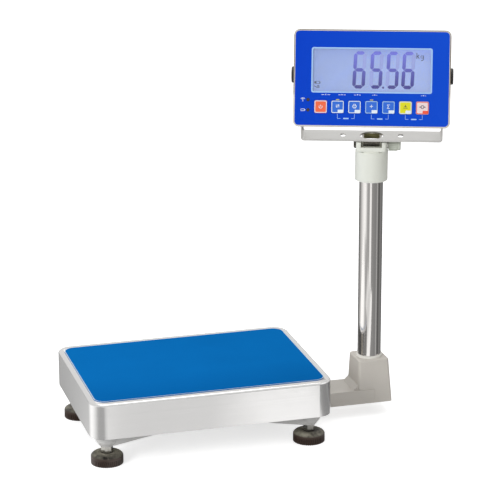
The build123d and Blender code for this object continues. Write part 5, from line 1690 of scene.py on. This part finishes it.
@dataclass
class PaintedReflections:
    """Two toned sheets that only mirror-like reflections see; their tones are painted reflections,
    with a painted shadow under the pan.

    Lengths are in metres, bearings in degrees from +X, and tones linear.

    Attributes:
        column_at: Where the column stands.
        column_tones: Bearing from the column and the floor sheet's tone there.
        corner_at: Middle of the pan's near corner.
        corner_tones: Bearing from that middle and the tone there.
        corner_reach: Distances from that middle at which those tones start and are full.
        corner_side: Leaning X, as the strip's, at which they start and are full.
        strip_x: Where the strip before the pan's long side starts and ends, at the pan.
        strip_y: Y of its far and near end.
        strip_tones: Share of the way along the strip and the tone there.
        strip_soft: Softness of its sides and of its ends.
        pan_side: Y of the pan's long side.
        skew: How far the strip leans sideways for each metre before that side.
        pan_shadow_x: X of the ends of the painted shadow under the pan.
        pan_shadow_y: Y of its sides.
        pan_shadow_soft: Softness of its edges.
        pan_shadow_tone: The painted shadow's tone.
        half: Half of the floor sheet's length and width.
        lift: Its height over the floor.
        card_half: Half the length and width of the card over the mat, which paints a highlight in
            the tube.
        card_lift: Its height over the floor.
        card_tones: Bearing from the column and the card's tone there.
    """

    column_at: Flat = (0.307, 0.0)
    column_tones: tuple[Flat, ...] = (
        (-260, 0.18), (-243, 0.2), (-232, 0.32), (-216, 0.55), (-205, 0.7), (-194, 0.95),
        (-180, 1.12), (-170, 1.2), (-160, 1.15), (-152, 0.95), (-146, 0.6), (-139, 0.45),
        (-121, 0.4), (-117, 1.1), (-104, 1.15), (-99, 0.34), (-60, 0.27), (-50, 0.28),
        (-46, 0.5), (-40, 0.5), (-36, 0.22), (-28, 0.13), (-15, 0.13), (-5, 0.24), (20, 0.22),
        (40, 0.08), (100, 0.12))
    corner_at: Flat = (-0.1745, -0.1195)
    corner_tones: tuple[Flat, ...] = (
        (-270, 0.40), (-261, 0.44), (-253, 0.62), (-236, 0.8), (-214, 1.25), (-200, 1.3),
        (-185, 1.2), (-165, 0.9), (-145, 0.50), (-134, 0.46), (-104, 0.46), (-92, 0.8),
        (-74, 1.05), (-60, 0.95), (90, 0.40))
    corner_reach: Flat = (0.56, 0.52)
    corner_side: Flat = (-0.1705, -0.1785)
    strip_x: Flat = (-0.1745, 0.2)
    strip_y: Flat = (-0.66, -0.19)
    strip_tones: tuple[Flat, ...] = ((0.0, 0.81), (0.45, 0.82), (0.62, 1.08),
                                     (0.75, 1.18), (1.0, 1.18))
    strip_soft: Flat = (0.004, 0.01)
    pan_side: float = -0.1445
    skew: float = 0.2832
    pan_shadow_x: Flat = (-0.18, 0.2)
    pan_shadow_y: Flat = (-0.125, 0.125)
    pan_shadow_soft: float = 0.012
    pan_shadow_tone: float = 0.12
    half: Flat = (9.0, 9.0)
    lift: float = 0.002
    card_half: Flat = (0.189, 0.131)
    card_lift: float = 0.1134
    card_tones: tuple[Flat, ...] = ((-260, 0.3), (-214, 0.5), (-206, 0.75), (-199, 1.3),
                                    (-168, 1.3), (-161, 0.85), (-154, 0.55), (-100, 0.4))

    def build(self) -> None:
        """Lays the sheet of painted reflections over the floor and the card that paints the tube's
        highlight over the mat.
        """
        graph, shader = self.board("painted_reflection_sheet", self.half, self.lift)
        graph.preset(shader, Emission_Color=self.floor_tone(graph))
        # Painted reflection: the card hides the mat from the tube and paints a white highlight
        # there.
        graph, shader = self.board("mat_painted_reflection_card", self.card_half, self.card_lift)
        graph.preset(shader, Emission_Color=self.bands(graph, self.column_at, self.card_tones))

    def board(self, name: str, half: Flat, lift: float) -> tuple[Graph, Node]:
        """Lays one level sheet that only mirror-like reflections see.

        Args:
            name: Its name.
            half: Half of its length and width.
            lift: Its height.

        Returns:
            Its material's graph and shader, which gives out light alone.
        """
        made, graph, shader = paper_sheet(name, name, half, lift)
        graph.preset(shader, Base_Color=grey(0.0), Emission_Strength=1.0)
        made.visible_camera = False
        made.visible_diffuse = False
        made.visible_shadow = False
        made.visible_transmission = False
        return graph, shader

    def floor_tone(self, graph: Graph) -> Socket:
        """Mixes the floor sheet's tones, which paint the reflections that the metal parts show,
        with a painted shadow under the pan.

        Bands round the column serve the tube, a strip the pan's long side and a fan its near
        corner.

        Args:
            graph: The sheet's graph.

        Returns:
            The tone's socket.
        """
        spot = graph.axes()
        depth = graph.sum("MINIMUM", graph.sum("SUBTRACT", spot["Y"], self.pan_side), 0.0)
        skewed = graph.sum("ADD", spot["X"], graph.sum("MULTIPLY", depth, self.skew))
        side_soft, end_soft = self.strip_soft
        before = graph.sum("MULTIPLY", self.zone(graph, spot["Y"], self.strip_y, end_soft),
                           self.zone(graph, skewed, self.strip_x, side_soft))
        strip = graph.tones(graph.ramp(skewed, *self.strip_x), self.strip_tones)
        offset = graph.add("ShaderNodeVectorMath", operation="DISTANCE")
        graph.feed(offset.inputs[0], graph.place())
        offset.inputs[1].default_value = (*self.corner_at, self.lift)
        near = graph.sum("MULTIPLY", graph.ramp(offset.outputs["Value"], *self.corner_reach),
                         graph.ramp(skewed, *self.corner_side))
        bands = self.bands(graph, self.column_at, self.column_tones)
        fan = self.bands(graph, self.corner_at, self.corner_tones)
        tone = graph.blend(near, graph.blend(before, bands, strip), fan)
        # Painted shadow: the sheet is dark under the pan, where the floor lies in shade.
        under = graph.sum("MULTIPLY", self.zone(graph, spot["X"], self.pan_shadow_x, self.pan_shadow_soft),
                          self.zone(graph, spot["Y"], self.pan_shadow_y, self.pan_shadow_soft))
        return graph.blend(under, tone, grey(self.pan_shadow_tone))

    def bands(self, graph: Graph, centre: Flat,
              tones: tuple[Flat, ...]) -> Socket:
        """Returns tones that change with the bearing round a spot.

        Args:
            graph: The sheet's graph.
            centre: The spot.
            tones: Bearings, rising, and the tone at each.

        Returns:
            The tone's socket.
        """
        first = tones[0][0]
        turn, _ = graph.around(centre)
        share = graph.sum("FRACT", graph.sum("SUBTRACT", turn, first / 360 - 1))
        return graph.tones(share, tuple(((a - first) / 360, t) for a, t in tones))

    def zone(self, graph: Graph, value: object, span: Flat, soft: float) -> Socket:
        """Masks what lies between two values.

        Args:
            graph: The sheet's graph.
            value: The socket to test.
            span: The two values.
            soft: How far the mask fades to either side of each.

        Returns:
            The mask's socket.
        """
        low, high = span
        rising = graph.ramp(value, low - soft, low + soft)
        falling = graph.ramp(value, high - soft, high + soft, 1.0, 0.0)
        return graph.sum("MULTIPLY", rising, falling)


@dataclass
class Studio:
    """The floor, the lamps, the world and the camera.

    Attributes:
        camera_at: Where the camera stands, in metres.
        yaw: Its heading, in degrees from +Y towards +X.
        pitch: How far it looks down, in degrees.
        roll: Its roll, in degrees.
        lens: Focal length on a 36 mm sensor.
        mirror_light: The world's strength in reflections.
        soft_light: Its strength to everything else.
        floor_half: Half of the floor's length and width, in metres.
        floor_glow: How much light of its own the floor shows.
        lamps: The lamps.
        target: Where they shine, in metres.
    """

    camera_at: Point = (-0.869, -3.421, 1.400)
    yaw: float = 15.81
    pitch: float = 17.20
    roll: float = -0.20
    lens: float = 164.2
    mirror_light: float = 0.85
    soft_light: float = 0.42
    floor_half: Flat = (9.0, 9.0)
    floor_glow: float = 0.66
    lamps: tuple[Lamp, ...] = (Lamp("key_lamp", (-2.7, -1.9, 1.7), 1.4, 62.0, mirrored=False),
                               Lamp("fill_lamp", (2.2, -1.6, 1.6), 1.8, 5.0),
                               Lamp("top_lamp", (0.2, 0.3, 3.0), 2.4, 26.0),
                               Lamp("back_lamp", (0.6, 2.6, 1.8), 1.6, 5.0, mirrored=False))
    target: Point = (0.1, 0.0, 0.2)

    def build(self) -> None:
        """Sets up the studio."""
        bpy.context.scene.view_settings.view_transform = "Standard"
        self.world()
        self.floor()
        for lamp in self.lamps:
            lamp.hang(self.target)
        PaintedReflections().build()
        self.camera()

    def camera(self) -> None:
        """Stands the camera at the photographed angle."""
        yaw, pitch, roll = (math.radians(a) for a in (self.yaw, self.pitch, self.roll))
        ahead = Vector((math.sin(yaw) * math.cos(pitch), math.cos(yaw) * math.cos(pitch),
                        -math.sin(pitch)))
        right = Vector((math.cos(yaw), -math.sin(yaw), 0.0))
        up = right.cross(ahead)
        level_right = math.cos(roll) * right + math.sin(roll) * up
        level_up = -math.sin(roll) * right + math.cos(roll) * up
        turn = Matrix((level_right, level_up, -ahead)).transposed()
        data = bpy.data.cameras.new("studio_camera")
        data.lens, data.sensor_width, data.clip_end = self.lens, 36.0, 50.0
        made = linked("studio_camera", data)
        made.matrix_world = Matrix.Translation(Vector(self.camera_at)) @ turn.to_4x4()
        bpy.context.scene.camera = made

    def world(self) -> None:
        """Makes the world white to the camera, nearly white in reflections, else a soft grey."""
        world = bpy.data.worlds.new("studio_world")
        world.use_nodes = True
        bpy.context.scene.world = world
        graph = Graph(world.node_tree)
        shader = world.node_tree.nodes["Background"]
        mirrored = graph.sum("MULTIPLY", graph.rays("Glossy"), self.mirror_light)
        light = graph.sum("MAXIMUM", mirrored, self.soft_light)
        seen = graph.rays("Camera", "Transmission")
        graph.preset(shader, Color=grey(1.0), Strength=graph.sum("MAXIMUM", light, seen))

    def floor(self) -> None:
        """Lays the pale floor, white where no shadow falls."""
        made, graph, shader = paper_sheet("floor", "white_paper", self.floor_half, 0.0)
        fibre = graph.noise(graph.place(), 400.0, 4.0)
        seen = graph.rays("Camera", "Glossy", "Transmission")
        graph.preset(shader, Roughness=0.9, Emission_Color=grey(1.0),
                     Base_Color=graph.blend(fibre, grey(0.84), grey(0.88)),
                     Emission_Strength=graph.sum("MULTIPLY", seen, self.floor_glow))


def main() -> None:
    """Builds the looks of the whole scale."""
    logging.basicConfig(level=logging.INFO, format="%(name)s: %(message)s")
    for assembly in (WeighingPan(), LevellingFeet(), UnderFrame(), Column(), PoleHead(),
                     Bracket(), IndicatorCase(), Display(), FilmPrint(), KeyRow(), Studio()):
        LOG.info("building %s", type(assembly).__name__)
        assembly.build()


if __name__ == "__main__":
    main()
